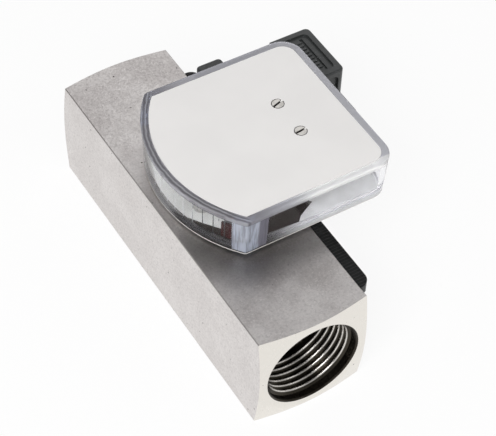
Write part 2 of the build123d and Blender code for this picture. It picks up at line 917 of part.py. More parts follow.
with BuildPart() as lid:
    with BuildSketch(Plane.XY.offset(housing_bottom)):
        add(housing_shape(housing_wall + slide_gap))
    extrude(amount=lid_thickness)
    with Locations(*[Location((x, y, housing_bottom), (180, 0, 0)) for x, y in lid_places]):
        CounterSinkHole(lid_screw_radius + slide_gap, lid_head_radius + running_gap, depth=lid_thickness)
save(lid, "housing_lid")

with BuildPart() as lid_screws:
    for x, y in lid_places:
        with BuildSketch(Plane(origin=(x, y, housing_bottom), x_dir=(1, 0, 0), z_dir=(0, -1, 0))):
            with BuildLine():
                Polyline(
                    (0, 0),
                    (lid_head_radius, 0),
                    (lid_screw_radius, lid_head_radius - lid_screw_radius),
                    (lid_screw_radius, lid_screw_length),
                    (0, lid_screw_length),
                    close=True,
                )
            make_face()
        revolve(axis=Axis((x, y, 0), (0, 0, 1)))
save(lid_screws, "lid_screws")

with BuildPart() as lock_screw:
    with BuildSketch(side_plane(housing_right, lock_y, lock_z)):
        Circle(lock_screw_radius)
    extrude(amount=rail_outer + free_gap - housing_right)
    with BuildSketch(side_plane(housing_right, lock_y, lock_z)):
        Circle(lock_head_radius)
    extrude(amount=-lock_head_height)
    with BuildSketch(side_plane(housing_right, lock_y, lock_z)):
        Rectangle(3 * lock_head_radius, slot_width)
    extrude(amount=-slot_depth, mode=Mode.SUBTRACT)
save(lock_screw, "lock_screw")

# Contact board across the slim part of the housing, with the reed switch lying against it

board_x = housing_left + slim_width - housing_wall - board_inset
board_y = housing_near + housing_wall + slide_gap
board_length = slim_length - 2 * (housing_wall + slide_gap)
reed_x = board_x - reed_radius - running_gap
reed_start = magnet_y + piston_travel - reed_length / 2
lead_start = reed_start - reed_lead_length
with BuildPart() as board:
    with BuildSketch(side_plane(board_x, board_y, 0)):
        Rectangle(board_length, board_height, align=(Align.MIN, Align.CENTER))
    extrude(amount=board_thickness)
save(board, "contact_board")

with BuildPart() as reed:
    with BuildSketch(Plane(origin=(reed_x, reed_start, 0), x_dir=(1, 0, 0), z_dir=(0, 1, 0))):
        Circle(reed_radius)
    extrude(amount=reed_length)
    fillet(reed.edges().filter_by(GeomType.CIRCLE), reed_radius - reed_lead_radius)
    with BuildSketch(Plane(origin=(reed_x, lead_start, 0), x_dir=(1, 0, 0), z_dir=(0, 1, 0))):
        Circle(reed_lead_radius)
    extrude(amount=reed_length + 2 * reed_lead_length)
save(reed, "reed_switch")

# Plug: gasket, blades, insert, moulded hood with grip, screw and cable gland

blade_start = socket_face - housing_wall - blade_root
with BuildPart() as blades:
    with BuildSketch(side_plane(blade_start, plug_y, plug_z)):
        with Locations(*blade_places):
            Rectangle(blade_width, blade_thickness)
    extrude(amount=plug_left + blade_reach - blade_start)
save(blades, "contact_blades")

gasket_length = plug_length - 2 * gasket_margin
gasket_height = plug_height - 2 * (plug_over + gasket_margin)
with BuildPart() as gasket:
    with BuildSketch(side_plane(socket_face, plug_y, plug_z)):
        RectangleRounded(gasket_length, gasket_height, plug_round)
        with Locations(*blade_places):
            Rectangle(blade_width + 2 * free_gap, blade_thickness + 2 * free_gap, mode=Mode.SUBTRACT)
        Circle(plug_screw_radius + free_gap, mode=Mode.SUBTRACT)
    extrude(amount=plug_gap)
save(gasket, "plug_gasket")

plug_right = plug_left + plug_width
insert_length = plug_length - 2 * plug_wall - 2 * slide_gap
insert_height = 2 * blade_place + blade_width
insert_round = plug_round / 2
with BuildPart() as insert:
    with BuildSketch(side_plane(plug_left, plug_y, plug_z)):
        RectangleRounded(insert_length, insert_height, insert_round)
        with Locations(*blade_places):
            Rectangle(blade_width + 2 * press_gap, blade_thickness + 2 * press_gap, mode=Mode.SUBTRACT)
        Circle(plug_screw_radius + slide_gap, mode=Mode.SUBTRACT)
    extrude(amount=insert_depth)
save(insert, "plug_insert")

recess_left = plug_left + recess_margin
recess_right = plug_right - recess_margin
recess_middle = (recess_left + recess_right) / 2
gland_x = plug_left + plug_width / 2
plug_bottom = plug_top - plug_height
with BuildPart() as hood:
    with BuildSketch(Plane.XY.offset(plug_bottom)):
        with Locations((plug_left, plug_near)):
            Rectangle(plug_width, plug_length, align=(Align.MIN, Align.MIN))
    extrude(amount=plug_height)
    fillet(hood.edges().filter_by(Axis.Z).group_by(Axis.X)[-1], plug_round)
    fillet(hood.faces().sort_by(Axis.X)[-1].edges().filter_by(Axis.Y), plug_edge_round)
    with BuildSketch(side_plane(plug_left, plug_y, plug_z)):
        RectangleRounded(plug_length - 2 * plug_wall, plug_height - 2 * plug_wall, insert_round + slide_gap)
    extrude(amount=plug_width - plug_wall, mode=Mode.SUBTRACT)
    with BuildSketch(Plane(origin=(recess_middle, plug_y, plug_top))):
        RectangleRounded(recess_right - recess_left, plug_length - 2 * recess_margin, recess_round)
    extrude(amount=-recess_depth, mode=Mode.SUBTRACT)
    with BuildSketch(Plane(origin=(recess_middle, plug_y, plug_top - recess_depth))):
        with GridLocations(grip_groove_spacing, 1, 2, 1):
            Rectangle(grip_groove_width, plug_length - 3 * recess_margin)
    extrude(amount=-grip_groove_depth, mode=Mode.SUBTRACT)
    with BuildSketch(Plane(origin=(recess_middle, plug_y, plug_top - recess_depth))):
        with GridLocations(1, grip_rib_pitch, 1, grip_rib_count):
            Rectangle(grip_groove_spacing - grip_groove_width, grip_rib_width)
    extrude(amount=grip_rib_height)
    with BuildSketch(Plane(origin=(recess_middle, plug_near, plug_z), x_dir=(1, 0, 0), z_dir=(0, -1, 0))):
        RectangleRounded(recess_right - recess_left, plug_height - 2 * recess_margin, recess_round)
    extrude(amount=-end_recess_depth, mode=Mode.SUBTRACT)
    with BuildSketch(side_plane(plug_right, plug_y, plug_z)):
        Circle(plug_screw_radius + slide_gap)
    extrude(amount=-plug_wall, mode=Mode.SUBTRACT)
    with BuildSketch(Plane(origin=(gland_x, plug_y, plug_bottom))):
        Circle(gland_stem_radius + running_gap)
    extrude(amount=plug_wall, mode=Mode.SUBTRACT)
save(hood, "plug_hood")

with BuildPart() as plug_screw:
    with BuildSketch(side_plane(plug_right, plug_y, plug_z)):
        Circle(plug_head_radius)
    extrude(amount=plug_head_height)
    chamfer(plug_screw.faces().sort_by(Axis.X)[-1].edges(), edge_break)
    with BuildSketch(side_plane(plug_right, plug_y, plug_z)):
        Circle(plug_screw_radius)
    extrude(amount=socket_face - housing_wall - plug_right)
    with BuildSketch(side_plane(plug_right + plug_head_height, plug_y, plug_z)):
        Rectangle(3 * plug_head_radius, slot_width)
    extrude(amount=-slot_depth, mode=Mode.SUBTRACT)
save(plug_screw, "plug_screw")

gland_bottom = plug_bottom - gland_nut_length
gland_seal_z = gland_bottom + gland_lip
with BuildPart() as gland:
    with BuildSketch(Plane(origin=(gland_x, plug_y, gland_bottom))):
        RegularPolygon(gland_nut_across_flats / 2, 6, major_radius=False)
    extrude(amount=gland_nut_length)
    with BuildSketch(Plane(origin=(gland_x, plug_y, plug_bottom))):
        Circle(gland_stem_radius)
    extrude(amount=gland_stem_length)
    with BuildSketch(Plane(origin=(gland_x, plug_y, gland_bottom))):
        Circle(cable_hole_radius)
    extrude(amount=gland_nut_length + gland_stem_length, mode=Mode.SUBTRACT)
    with BuildSketch(Plane(origin=(gland_x, plug_y, gland_seal_z))):
        Circle(gland_seal_radius)
    extrude(amount=gland_nut_length + gland_stem_length, mode=Mode.SUBTRACT)
save(gland, "gland_nut")

with BuildPart() as seal:
    with BuildSketch(Plane(origin=(gland_x, plug_y, gland_seal_z))):
        Circle(gland_seal_radius - press_gap)
        Circle(cable_hole_radius, mode=Mode.SUBTRACT)
    extrude(amount=gland_seal_length)
save(seal, "gland_seal")
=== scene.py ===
"""Looks of a variable area flow meter: finishes, pipe threads, spring, dial sheet and marks, studio and camera."""

import json
import logging
import math
from dataclasses import dataclass, field
from enum import Enum
from functools import cached_property
from typing import Union

import bmesh
import bpy
from mathutils import Matrix, Vector

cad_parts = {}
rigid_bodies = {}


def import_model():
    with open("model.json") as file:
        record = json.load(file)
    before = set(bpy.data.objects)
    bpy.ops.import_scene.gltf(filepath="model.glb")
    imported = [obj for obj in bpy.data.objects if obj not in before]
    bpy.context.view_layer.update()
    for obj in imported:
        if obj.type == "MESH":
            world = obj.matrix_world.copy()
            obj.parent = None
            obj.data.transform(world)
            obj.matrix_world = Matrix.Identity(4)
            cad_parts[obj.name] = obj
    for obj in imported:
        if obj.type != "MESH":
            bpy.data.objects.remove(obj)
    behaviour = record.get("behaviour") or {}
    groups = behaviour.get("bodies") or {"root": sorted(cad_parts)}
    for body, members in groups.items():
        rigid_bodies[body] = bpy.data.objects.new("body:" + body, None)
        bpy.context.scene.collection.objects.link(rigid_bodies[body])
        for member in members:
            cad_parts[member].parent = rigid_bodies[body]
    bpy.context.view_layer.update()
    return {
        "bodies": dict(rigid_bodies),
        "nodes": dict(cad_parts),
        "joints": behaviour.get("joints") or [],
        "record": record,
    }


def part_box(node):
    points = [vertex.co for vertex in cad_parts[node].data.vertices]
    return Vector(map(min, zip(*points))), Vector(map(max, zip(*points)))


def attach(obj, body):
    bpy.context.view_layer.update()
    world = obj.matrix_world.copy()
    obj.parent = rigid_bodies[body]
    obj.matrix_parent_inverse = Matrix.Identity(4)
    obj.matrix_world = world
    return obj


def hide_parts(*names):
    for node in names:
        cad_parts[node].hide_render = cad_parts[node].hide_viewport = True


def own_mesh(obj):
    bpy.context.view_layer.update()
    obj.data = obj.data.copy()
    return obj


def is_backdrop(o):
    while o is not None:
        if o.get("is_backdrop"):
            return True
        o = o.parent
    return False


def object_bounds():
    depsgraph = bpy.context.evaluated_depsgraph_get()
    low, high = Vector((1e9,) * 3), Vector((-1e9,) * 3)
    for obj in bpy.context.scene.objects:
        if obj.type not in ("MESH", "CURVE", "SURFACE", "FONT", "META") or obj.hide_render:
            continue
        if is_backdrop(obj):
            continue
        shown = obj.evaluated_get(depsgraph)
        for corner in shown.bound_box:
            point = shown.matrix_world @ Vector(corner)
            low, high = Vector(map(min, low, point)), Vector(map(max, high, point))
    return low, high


log = logging.getLogger("flow_meter")

Colour = tuple[float, float, float]
Place = tuple[float, float, float]
Point = tuple[float, float]
Socket = bpy.types.NodeSocket
Source = Union[Socket, Colour, float]

MM = 0.001


class Flow(Enum):
    """Which way a port is cut, as the sign of the flow axis that leads into the block."""

    INLET = 1
    OUTLET = -1


class Axis(Enum):
    """Axis of the record's frame that a turned or drawn surface follows."""

    ACROSS = 0
    ALONG = 1
    UP = 2


class Calc(Enum):
    """A sum that a node does."""

    PLUS = "ADD"
    MINUS = "SUBTRACT"
    TIMES = "MULTIPLY"
    MOST = "MAXIMUM"
    SIZE = "ABSOLUTE"
    ROOT = "SQRT"
    SINE = "SINE"


@dataclass(frozen=True)
class Lumps:
    """Cloudy noise: size of its largest lumps in millimetres, octaves, strength of the finer ones, and stretch."""

    size: float
    detail: float = 3
    rough: float = 0.55
    stretch: Place = (1, 1, 1)


@dataclass(frozen=True)
class Band:
    """A range of a value, and the two results that it is spread over, with soft ends."""

    low: float
    high: float
    start: float = 0
    end: float = 1


def screen(red: int, green: int, blue: int) -> Colour:
    """Turn an 8-bit screen colour into a linear one.

    Args:
        red: Red, 0 to 255.
        green: Green, 0 to 255.
        blue: Blue, 0 to 255.

    Returns:
        The linear colour that the shaders take.
    """
    linear_end, slope, offset, power = 0.04045, 12.92, 0.055, 2.4
    levels = (value / 255 for value in (red, green, blue))
    return tuple(
        level / slope if level <= linear_end else ((level + offset) / (1 + offset)) ** power for level in levels
    )


def tinted(colour: Colour, share: float) -> Colour:
    """Return the colour made lighter or darker by a share of itself."""
    return tuple(level * (1 + share) for level in colour)


class Tree:
    """Node tree of a finish or of the world, with shorthand for the few nodes that they share."""

    def __init__(self, tree: bpy.types.NodeTree, output: str) -> None:
        """Empty a node tree and start it again.

        Args:
            tree: The tree.
            output: Kind of its output node.
        """
        self.tree = tree
        self.tree.nodes.clear()
        self.output = self.add(output)
        self.coordinates = self.add("TexCoord")

    def add(self, kind: str, *first: Source, **named: Source) -> bpy.types.Node:
        """Add a shader node.

        Args:
            kind: End of its type's name.
            first: What its first inputs take.
            named: What inputs take by their names.

        Returns:
            The node.
        """
        node = self.tree.nodes.new("ShaderNode" + kind)
        for socket, value in zip(node.inputs, first):
            self.put(socket, value)
        self.fill(node, **named)
        return node

    def fill(self, node: bpy.types.Node, **named: Source) -> None:
        """Join or set a node's inputs by their names, where underscores stand for spaces."""
        for name, value in named.items():
            self.put(node.inputs[name.replace("_", " ")], value)

    def put(self, socket: Socket, value: Source) -> None:
        """Join a socket to an input, or set a plain value there.

        Args:
            socket: The input.
            value: A socket, a number or a colour.
        """
        if isinstance(value, bpy.types.NodeSocket):
            self.tree.links.new(value, socket)
        else:
            socket.default_value = (*value, 1) if socket.type == "RGBA" else value

    def show(self, shader: Socket) -> None:
        """Make a shader the tree's result."""
        self.put(self.output.inputs["Surface"], shader)

    def parts(self, place: Socket) -> tuple[Socket, Socket, Socket]:
        """Split a place or a direction in its parts across the block, along the flow and up."""
        return tuple(self.add("SeparateXYZ", place).outputs)

    def span(self, value: Source, band: Band) -> Socket:
        """Spread a value between two limits over another range, with soft ends.

        Args:
            value: The value.
            band: The limits and the results there.

        Returns:
            The spread value.
        """
        node = self.add("MapRange", value, band.low, band.high, band.start, band.end)
        node.interpolation_type = "SMOOTHSTEP"
        return node.outputs["Result"]

    def above(self, value: Source, level: float, softness: float) -> Socket:
        """Give 1 where the value is past a level and 0 elsewhere, with a soft step."""
        return self.span(value, Band(level, level + softness))

    def below(self, value: Source, level: float, softness: float) -> Socket:
        """Give 1 where the value is short of a level and 0 elsewhere, with a soft step."""
        return self.span(value, Band(level, level + softness, 1, 0))

    def calc(self, operation: Calc, first: Source, *others: Source) -> Socket:
        """Do a sum on one value, or on several in turn.

        Args:
            operation: The sum.
            first: A socket or a number.
            others: More of them.

        Returns:
            The result's socket.
        """
        for other in others or (0.0,):
            node = self.add("Math", first, other)
            node.operation = operation.value
            first = node.outputs[0]
        return first

    def times(self, *values: Source) -> Socket:
        """Multiply the values."""
        return self.calc(Calc.TIMES, *values)

    def minus(self, first: Source, second: Source) -> Socket:
        """Take the second value from the first."""
        return self.calc(Calc.MINUS, first, second)

    def most(self, *values: Source) -> Socket:
        """Give the largest of the values."""
        return self.calc(Calc.MOST, *values)

    def reach(self, aside: Socket, beside: Socket) -> Socket:
        """Give the distance from a point, from its two parts."""
        return self.calc(Calc.ROOT, self.calc(Calc.PLUS, self.times(aside, aside), self.times(beside, beside)))

    def blend(self, share: Source, first: Source, second: Source) -> Socket:
        """Mix two colours.

        Args:
            share: Share of the second colour, a socket or a number.
            first: A colour or its socket.
            second: A colour or its socket.

        Returns:
            The mixed colour's socket.
        """
        node = self.add("Mix", share)
        node.data_type = "RGBA"
        ends = (socket for socket in node.inputs if socket.type == "RGBA")
        for socket, colour in zip(ends, (first, second)):
            self.put(socket, colour)
        return next(socket for socket in node.outputs if socket.type == "RGBA")

    def light(self, kind: str, colour: Source, strength: float = 1.0) -> Socket:
        """Add a shader that gives light, an Emission or a Background."""
        return self.add(kind, colour, strength).outputs[0]

    def either(self, share: Socket, first: Socket, second: Socket) -> Socket:
        """Mix two shaders by the second one's share."""
        return self.add("MixShader", share, first, second).outputs["Shader"]


class Graph(Tree):
    """Node tree of one finish, which starts with the main shader."""

    def __init__(self, name: str) -> None:
        """Start the tree of a new material.

        Args:
            name: Name of the material.
        """
        self.material = bpy.data.materials.new(name)
        self.material.use_nodes = True
        super().__init__(self.material.node_tree, "OutputMaterial")
        self.shader = self.add("BsdfPrincipled")
        self.show(self.shader.outputs["BSDF"])

    def set(self, **values: Source) -> None:
        """Join or set inputs of the main shader by their names."""
        self.fill(self.shader, **values)

    def fed(self, name: str) -> Socket:
        """Give what the main shader's input of that name is joined to."""
        return self.shader.inputs[name].links[0].from_socket

    @cached_property
    def spot(self) -> tuple[Socket, Socket, Socket]:
        """Give the surface's own place in millimetres: across the block, along the flow and up."""
        return self.parts(self.place())

    def place(self, stretch: Place = (1, 1, 1)) -> Socket:
        """Give the surface's own coordinates in millimetres, for patterns that much finer along each axis."""
        scale = tuple(axis / MM for axis in stretch)
        return self.add("Mapping", self.coordinates.outputs["Object"], Scale=scale).outputs["Vector"]

    def from_point(self, point: Point) -> tuple[Socket, Socket]:
        """Give how far the surface lies past a point, across and along."""
        return tuple(self.minus(part, middle) for part, middle in zip(self.spot, point))

    def facing(self, axis: Axis) -> Socket:
        """Give how squarely the surface faces along an axis of the object, from 0 to 1."""
        return self.calc(Calc.SIZE, self.parts(self.coordinates.outputs["Normal"])[axis.value])

    def noise(self, lumps: Lumps) -> Socket:
        """Add cloudy noise, from 0 to 1 around a half."""
        look = {"Scale": 1 / lumps.size, "Detail": lumps.detail, "Roughness": lumps.rough}
        return self.add("TexNoise", self.place(lumps.stretch), **look).outputs["Fac"]

    def cells(self, size: float) -> Socket:
        """Add cells of a size in millimetres, and give the distance from each one's middle in cells."""
        return self.add("TexVoronoi", self.place(), Scale=1 / size).outputs["Distance"]

    def bump(self, height: Socket, depth: float) -> None:
        """Raise the surface by a height, after what was raised before.

        Args:
            height: Height from 0 to 1.
            depth: Depth of the full height in millimetres.
        """
        node = self.add("Bump", Strength=1.0, Distance=depth * MM, Height=height)
        if self.shader.inputs["Normal"].is_linked:
            self.put(node.inputs["Normal"], self.fed("Normal"))
        self.set(Normal=node.outputs["Normal"])

    def let_lamps_through(self, tint: Colour) -> None:
        """Let lamplight pass through a clear surface, so that what lies behind it is lit.

        Args:
            tint: Colour of the light that passes.
        """
        open_way = self.add("BsdfTransparent", tint).outputs["BSDF"]
        lamp_ray = self.add("LightPath").outputs["Is Shadow Ray"]
        self.show(self.either(lamp_ray, self.shader.outputs["BSDF"], open_way))


@dataclass(frozen=True)
class Finish:
    """A finish that pieces wear."""

    name: str

    def paint(self, graph: Graph) -> None:
        """Paint the finish on a new graph; each kind of finish does it its own way."""
        raise NotImplementedError

    def material(self) -> bpy.types.Material:
        """Build the finish.

        Returns:
            Its material.
        """
        graph = Graph(self.name)
        self.paint(graph)
        return graph.material


@dataclass(frozen=True)
class BlockSteel(Finish):
    """Stainless bar with a pickled, faintly clouded skin and two bright turned ends, and painted shade in its bore
    and beside the near side of the dial box. Sizes are in millimetres.
    """

    name: str = "block steel"
    skin: Colour = screen(223, 219, 217)
    cloud: Colour = screen(202, 197, 195)
    turned: Colour = screen(235, 231, 224)
    edge: Colour = screen(132, 126, 123)
    # painted shade inside the port: its walls and the mouth's chamfer
    tapped: Colour = screen(58, 54, 48)
    pit: Colour = screen(96, 90, 88)
    fleck: Colour = tinted(cloud, -0.35)
    glint: Colour = tinted(skin, 0.25)
    # painted shade: dark colour for the top beside the near side of the dial box
    stain: Colour = tinted(edge, -0.75)
    clouds: Lumps = Lumps(14.0, 4, 0.6)
    flecks: Lumps = Lumps(0.9, 4, 0.7)
    grains: Lumps = Lumps(0.55, 3, 0.7)
    pit_fields: Lumps = Lumps(5.27, 1)
    pit_size: float = 3.1
    end_facing: Band = Band(0.55, 0.8)
    edge_facing: Band = Band(0.2, 0.35)
    top_facing: Band = Band(0.8, 0.95)
    side_clouds: Band = Band(0.3, 0.8, 0.35, 1)
    cloud_band: Band = Band(0.35, 0.65)
    fleck_band: Band = Band(0.45, 0.75, 0, 0.36)
    glint_band: Band = Band(0.5, 0.75, 0, 0.6)
    pit_band: Band = Band(0.06, 0.12, 1, 0)
    pit_field_band: Band = Band(0.52, 0.62)
    roughness: Band = Band(0.3, 0.7, 0.40, 0.55)
    shine: float = 0.14
    edge_share: float = 0.5
    bore_reach: float = 18.6
    bore_softness: float = 0.1
    bore_facing: Band = Band(0.9, 1, 1, 0)
    turning_pitch: float = 0.28
    turning_depth: float = 0.0012
    grain_depth: float = 0.045
    end_smoothness: float = 0.75
    pit_depth: float = 0.08
    box_pivot: Point = (30.6, 66.8)
    box_reach: float = 48.2
    box_half: float = 32.4
    # reach, share and run of the painted shade beside the dial box
    stain_reach: float = 16.0
    stain_share: float = 0.66
    stain_run: Band = Band(42.0, 58.0, 1, 0)

    def paint(self, graph: Graph) -> None:
        """Paint the skin, its edges and pits, the turned ends, and the painted shade in the bore and beside the dial
        box.

        Args:
            graph: The finish's graph.
        """
        across, _, up = graph.spot
        faces_up = graph.facing(Axis.UP)
        ends = graph.span(graph.facing(Axis.ALONG), self.end_facing)
        edges = graph.span(graph.times(graph.facing(Axis.ACROSS), faces_up), self.edge_facing)
        radius = graph.reach(across, up)
        bore = graph.below(radius, self.bore_reach, self.bore_softness)
        bore = graph.times(bore, graph.span(ends, self.bore_facing))
        clouds = graph.span(graph.noise(self.clouds), self.cloud_band)
        flecks, grain = graph.noise(self.flecks), graph.noise(self.grains)
        pits = graph.span(graph.cells(self.pit_size), self.pit_band)
        pits = graph.times(pits, graph.span(graph.noise(self.pit_fields), self.pit_field_band))
        # painted shade beside the near side of the dial box, on faces that look up
        stain = graph.times(self.near_box(graph), graph.span(faces_up, self.top_facing))
        colour = self.skin
        for share, coat in (
            (graph.times(clouds, graph.span(faces_up, self.side_clouds)), self.cloud),
            (graph.span(flecks, self.fleck_band), self.fleck),
            (graph.span(grain, self.glint_band), self.glint),
            (ends, self.turned),
            (graph.times(edges, self.edge_share), self.edge),
            (graph.times(stain, self.stain_share), self.stain),
            # painted shade in the port
            (bore, self.tapped),
            (pits, self.pit),
        ):
            colour = graph.blend(share, colour, coat)
        rough = graph.minus(graph.span(flecks, self.roughness), graph.times(graph.most(ends, bore), self.shine))
        graph.set(Base_Color=colour, Roughness=rough, Metallic=1.0)
        turning = graph.calc(Calc.SINE, graph.times(radius, math.tau / self.turning_pitch))
        graph.bump(graph.times(turning, ends), self.turning_depth)
        body = graph.minus(1.0, graph.times(ends, self.end_smoothness))
        graph.bump(graph.times(grain, body), self.grain_depth)
        graph.bump(graph.times(pits, -1.0), self.pit_depth)

    def near_box(self, graph: Graph) -> Socket:
        """Give where painted shade darkens the steel close to the near side of the dial box, on top of the lamps' own
        shadow there.

        Args:
            graph: The finish's graph.

        Returns:
            The painted shade, from 0 to 1.
        """
        aside, beside = graph.from_point(self.box_pivot)
        past_arc = graph.minus(graph.reach(aside, beside), self.box_reach)
        past_side = graph.minus(graph.calc(Calc.SIZE, beside), self.box_half)
        near = graph.below(graph.most(past_arc, past_side), 0, self.stain_reach)
        return graph.times(near, graph.span(graph.spot[Axis.ALONG.value], self.stain_run))


@dataclass(frozen=True)
class TurnedMetal(Finish):
    """Machined metal with fine tool marks and a little tarnish. Sizes are in millimetres."""

    colour: Colour
    roughness: float = 0.26
    mark_axis: Axis = Axis.ALONG
    mark_size: float = 0.12
    mark_stretch: float = 0.12
    mark_band: Band = Band(0.4, 0.7, 0, 0.3)
    mark_tint: float = 0.15
    mark_depth: float = 0.006
    tarnish: Lumps = Lumps(2.5, 4, 0.6)
    tarnish_band: Band = Band(0.35, 0.75)
    tarnish_tint: float = -0.18
    tarnish_roughness: float = 0.14
    tarnish_span: Point = (0.3, 0.8)
    mark_detail: float = 2

    def paint(self, graph: Graph) -> None:
        """Paint the tool marks and the tarnish.

        Args:
            graph: The finish's graph.
        """
        squeeze = [self.mark_stretch] * 3
        squeeze[self.mark_axis.value] = 1.0
        marks = graph.noise(Lumps(self.mark_size, self.mark_detail, stretch=tuple(squeeze)))
        tarnish = graph.noise(self.tarnish)
        shade = tinted(self.colour, self.tarnish_tint)
        colour = graph.blend(graph.span(tarnish, self.tarnish_band), self.colour, shade)
        colour = graph.blend(graph.span(marks, self.mark_band), colour, tinted(self.colour, self.mark_tint))
        rough = Band(*self.tarnish_span, self.roughness, self.roughness + self.tarnish_roughness)
        graph.set(Base_Color=colour, Roughness=graph.span(tarnish, rough), Metallic=1.0)
        graph.bump(marks, self.mark_depth)


@dataclass(frozen=True)
class TappedSteel(TurnedMetal):
    """Cut thread, bright on its crests, with painted shade on its flanks. Sizes are in millimetres."""

    # painted shade on the thread's flanks, between the bright crests
    flank: Colour = screen(62, 58, 51)
    crest_reach: float = 15.35
    crest_softness: float = 0.3

    def paint(self, graph: Graph) -> None:
        """Paint the crests and then the painted shade on the flanks.

        Args:
            graph: The finish's graph.
        """
        super().paint(graph)
        across, _, up = graph.spot
        # painted shade on the flanks, inside the crest radius
        flanks = graph.above(graph.reach(across, up), self.crest_reach, self.crest_softness)
        graph.set(Base_Color=graph.blend(flanks, graph.fed("Base Color"), self.flank))


@dataclass(frozen=True)
class ScrewSteel(TurnedMetal):
    """Bright screw steel, with painted shade in the slots and round the edge of the two plate screws. Sizes are in
    millimetres.
    """

    # painted shade colour for the slots and edge gaps of the plate screws
    shade: Colour = screen(52, 48, 47)
    dull: Colour = screen(158, 157, 154)
    dull_share: float = 0.7
    dull_roughness: float = 0.3
    box_floor: float = 22.8
    box_top: float = 33.0
    slot_height: float = 37.08
    slot_softness: float = 0.05
    softness: float = 0.1
    head_reach: float = 1.9
    head_softness: float = 0.2
    middle: Point = (30.6, 66.8)
    spacing: float = 7.15

    def paint(self, graph: Graph) -> None:
        """Paint the screws bright, duller inside the dial box, and with painted shade in the plate screws' slots and
        round their edges.

        Args:
            graph: The finish's graph.
        """
        super().paint(graph)
        dirt, up = self.dirt(graph), graph.spot[Axis.UP.value]
        inside = graph.above(up, self.box_floor, self.softness)
        inside = graph.times(inside, graph.below(up, self.box_top, self.softness))
        colour = graph.blend(inside, graph.fed("Base Color"), self.dull)
        plain = graph.most(dirt, graph.times(inside, self.dull_share))
        rough = graph.calc(Calc.PLUS, graph.fed("Roughness"), graph.times(inside, self.dull_roughness))
        # painted shade in the plate screws' slots and round their edges
        graph.set(Base_Color=graph.blend(dirt, colour, self.shade), Metallic=graph.minus(1.0, plain), Roughness=rough)

    def dirt(self, graph: Graph) -> Socket:
        """Give where painted shade darkens the slots and edges of the plate screws.

        Args:
            graph: The finish's graph.

        Returns:
            The painted shade, from 0 to 1.
        """
        up = graph.spot[Axis.UP.value]
        aside, beside = graph.from_point(self.middle)
        beside = graph.minus(graph.calc(Calc.SIZE, beside), self.spacing)
        edge = graph.above(graph.reach(aside, beside), self.head_reach, self.head_softness)
        slot = graph.below(up, self.slot_height, self.slot_softness)
        return graph.times(graph.most(edge, slot), graph.above(up, self.box_top, self.softness))


@dataclass(frozen=True)
class ClearPlastic(Finish):
    """Clear moulded plastic, with faint flow lines and fine wipe marks. Sizes are in millimetres."""

    tint: Colour = screen(246, 246, 248)
    ior: float = 1.49
    roughness: float = 0.02
    flow_size: float = 9.0
    flow_detail: float = 1
    flow_depth: float = 0.02
    wipes: Lumps = Lumps(0.9, 4, 0.7, (1, 0.2, 0.6))
    wipe_roughness: float = 0.06
    wipe_span: Point = (0.5, 0.8)
    lamp_loss: float = -0.06
    gloss: float = 0.3

    def glaze(self, graph: Graph) -> None:
        """Make the surface smooth and clear to lamplight, with wipe marks.

        Args:
            graph: The finish's graph.
        """
        rough = Band(*self.wipe_span, self.roughness, self.roughness + self.wipe_roughness)
        wipes = graph.span(graph.noise(self.wipes), rough)
        graph.set(IOR=self.ior, Specular_IOR_Level=self.gloss, Roughness=wipes)
        graph.let_lamps_through(tinted(self.tint, self.lamp_loss))

    def paint(self, graph: Graph) -> None:
        """Paint the plastic clear all over, with flow lines.

        Args:
            graph: The finish's graph.
        """
        self.glaze(graph)
        graph.set(Base_Color=self.tint, Transmission_Weight=1.0)
        graph.bump(graph.noise(Lumps(self.flow_size, self.flow_detail)), self.flow_depth)


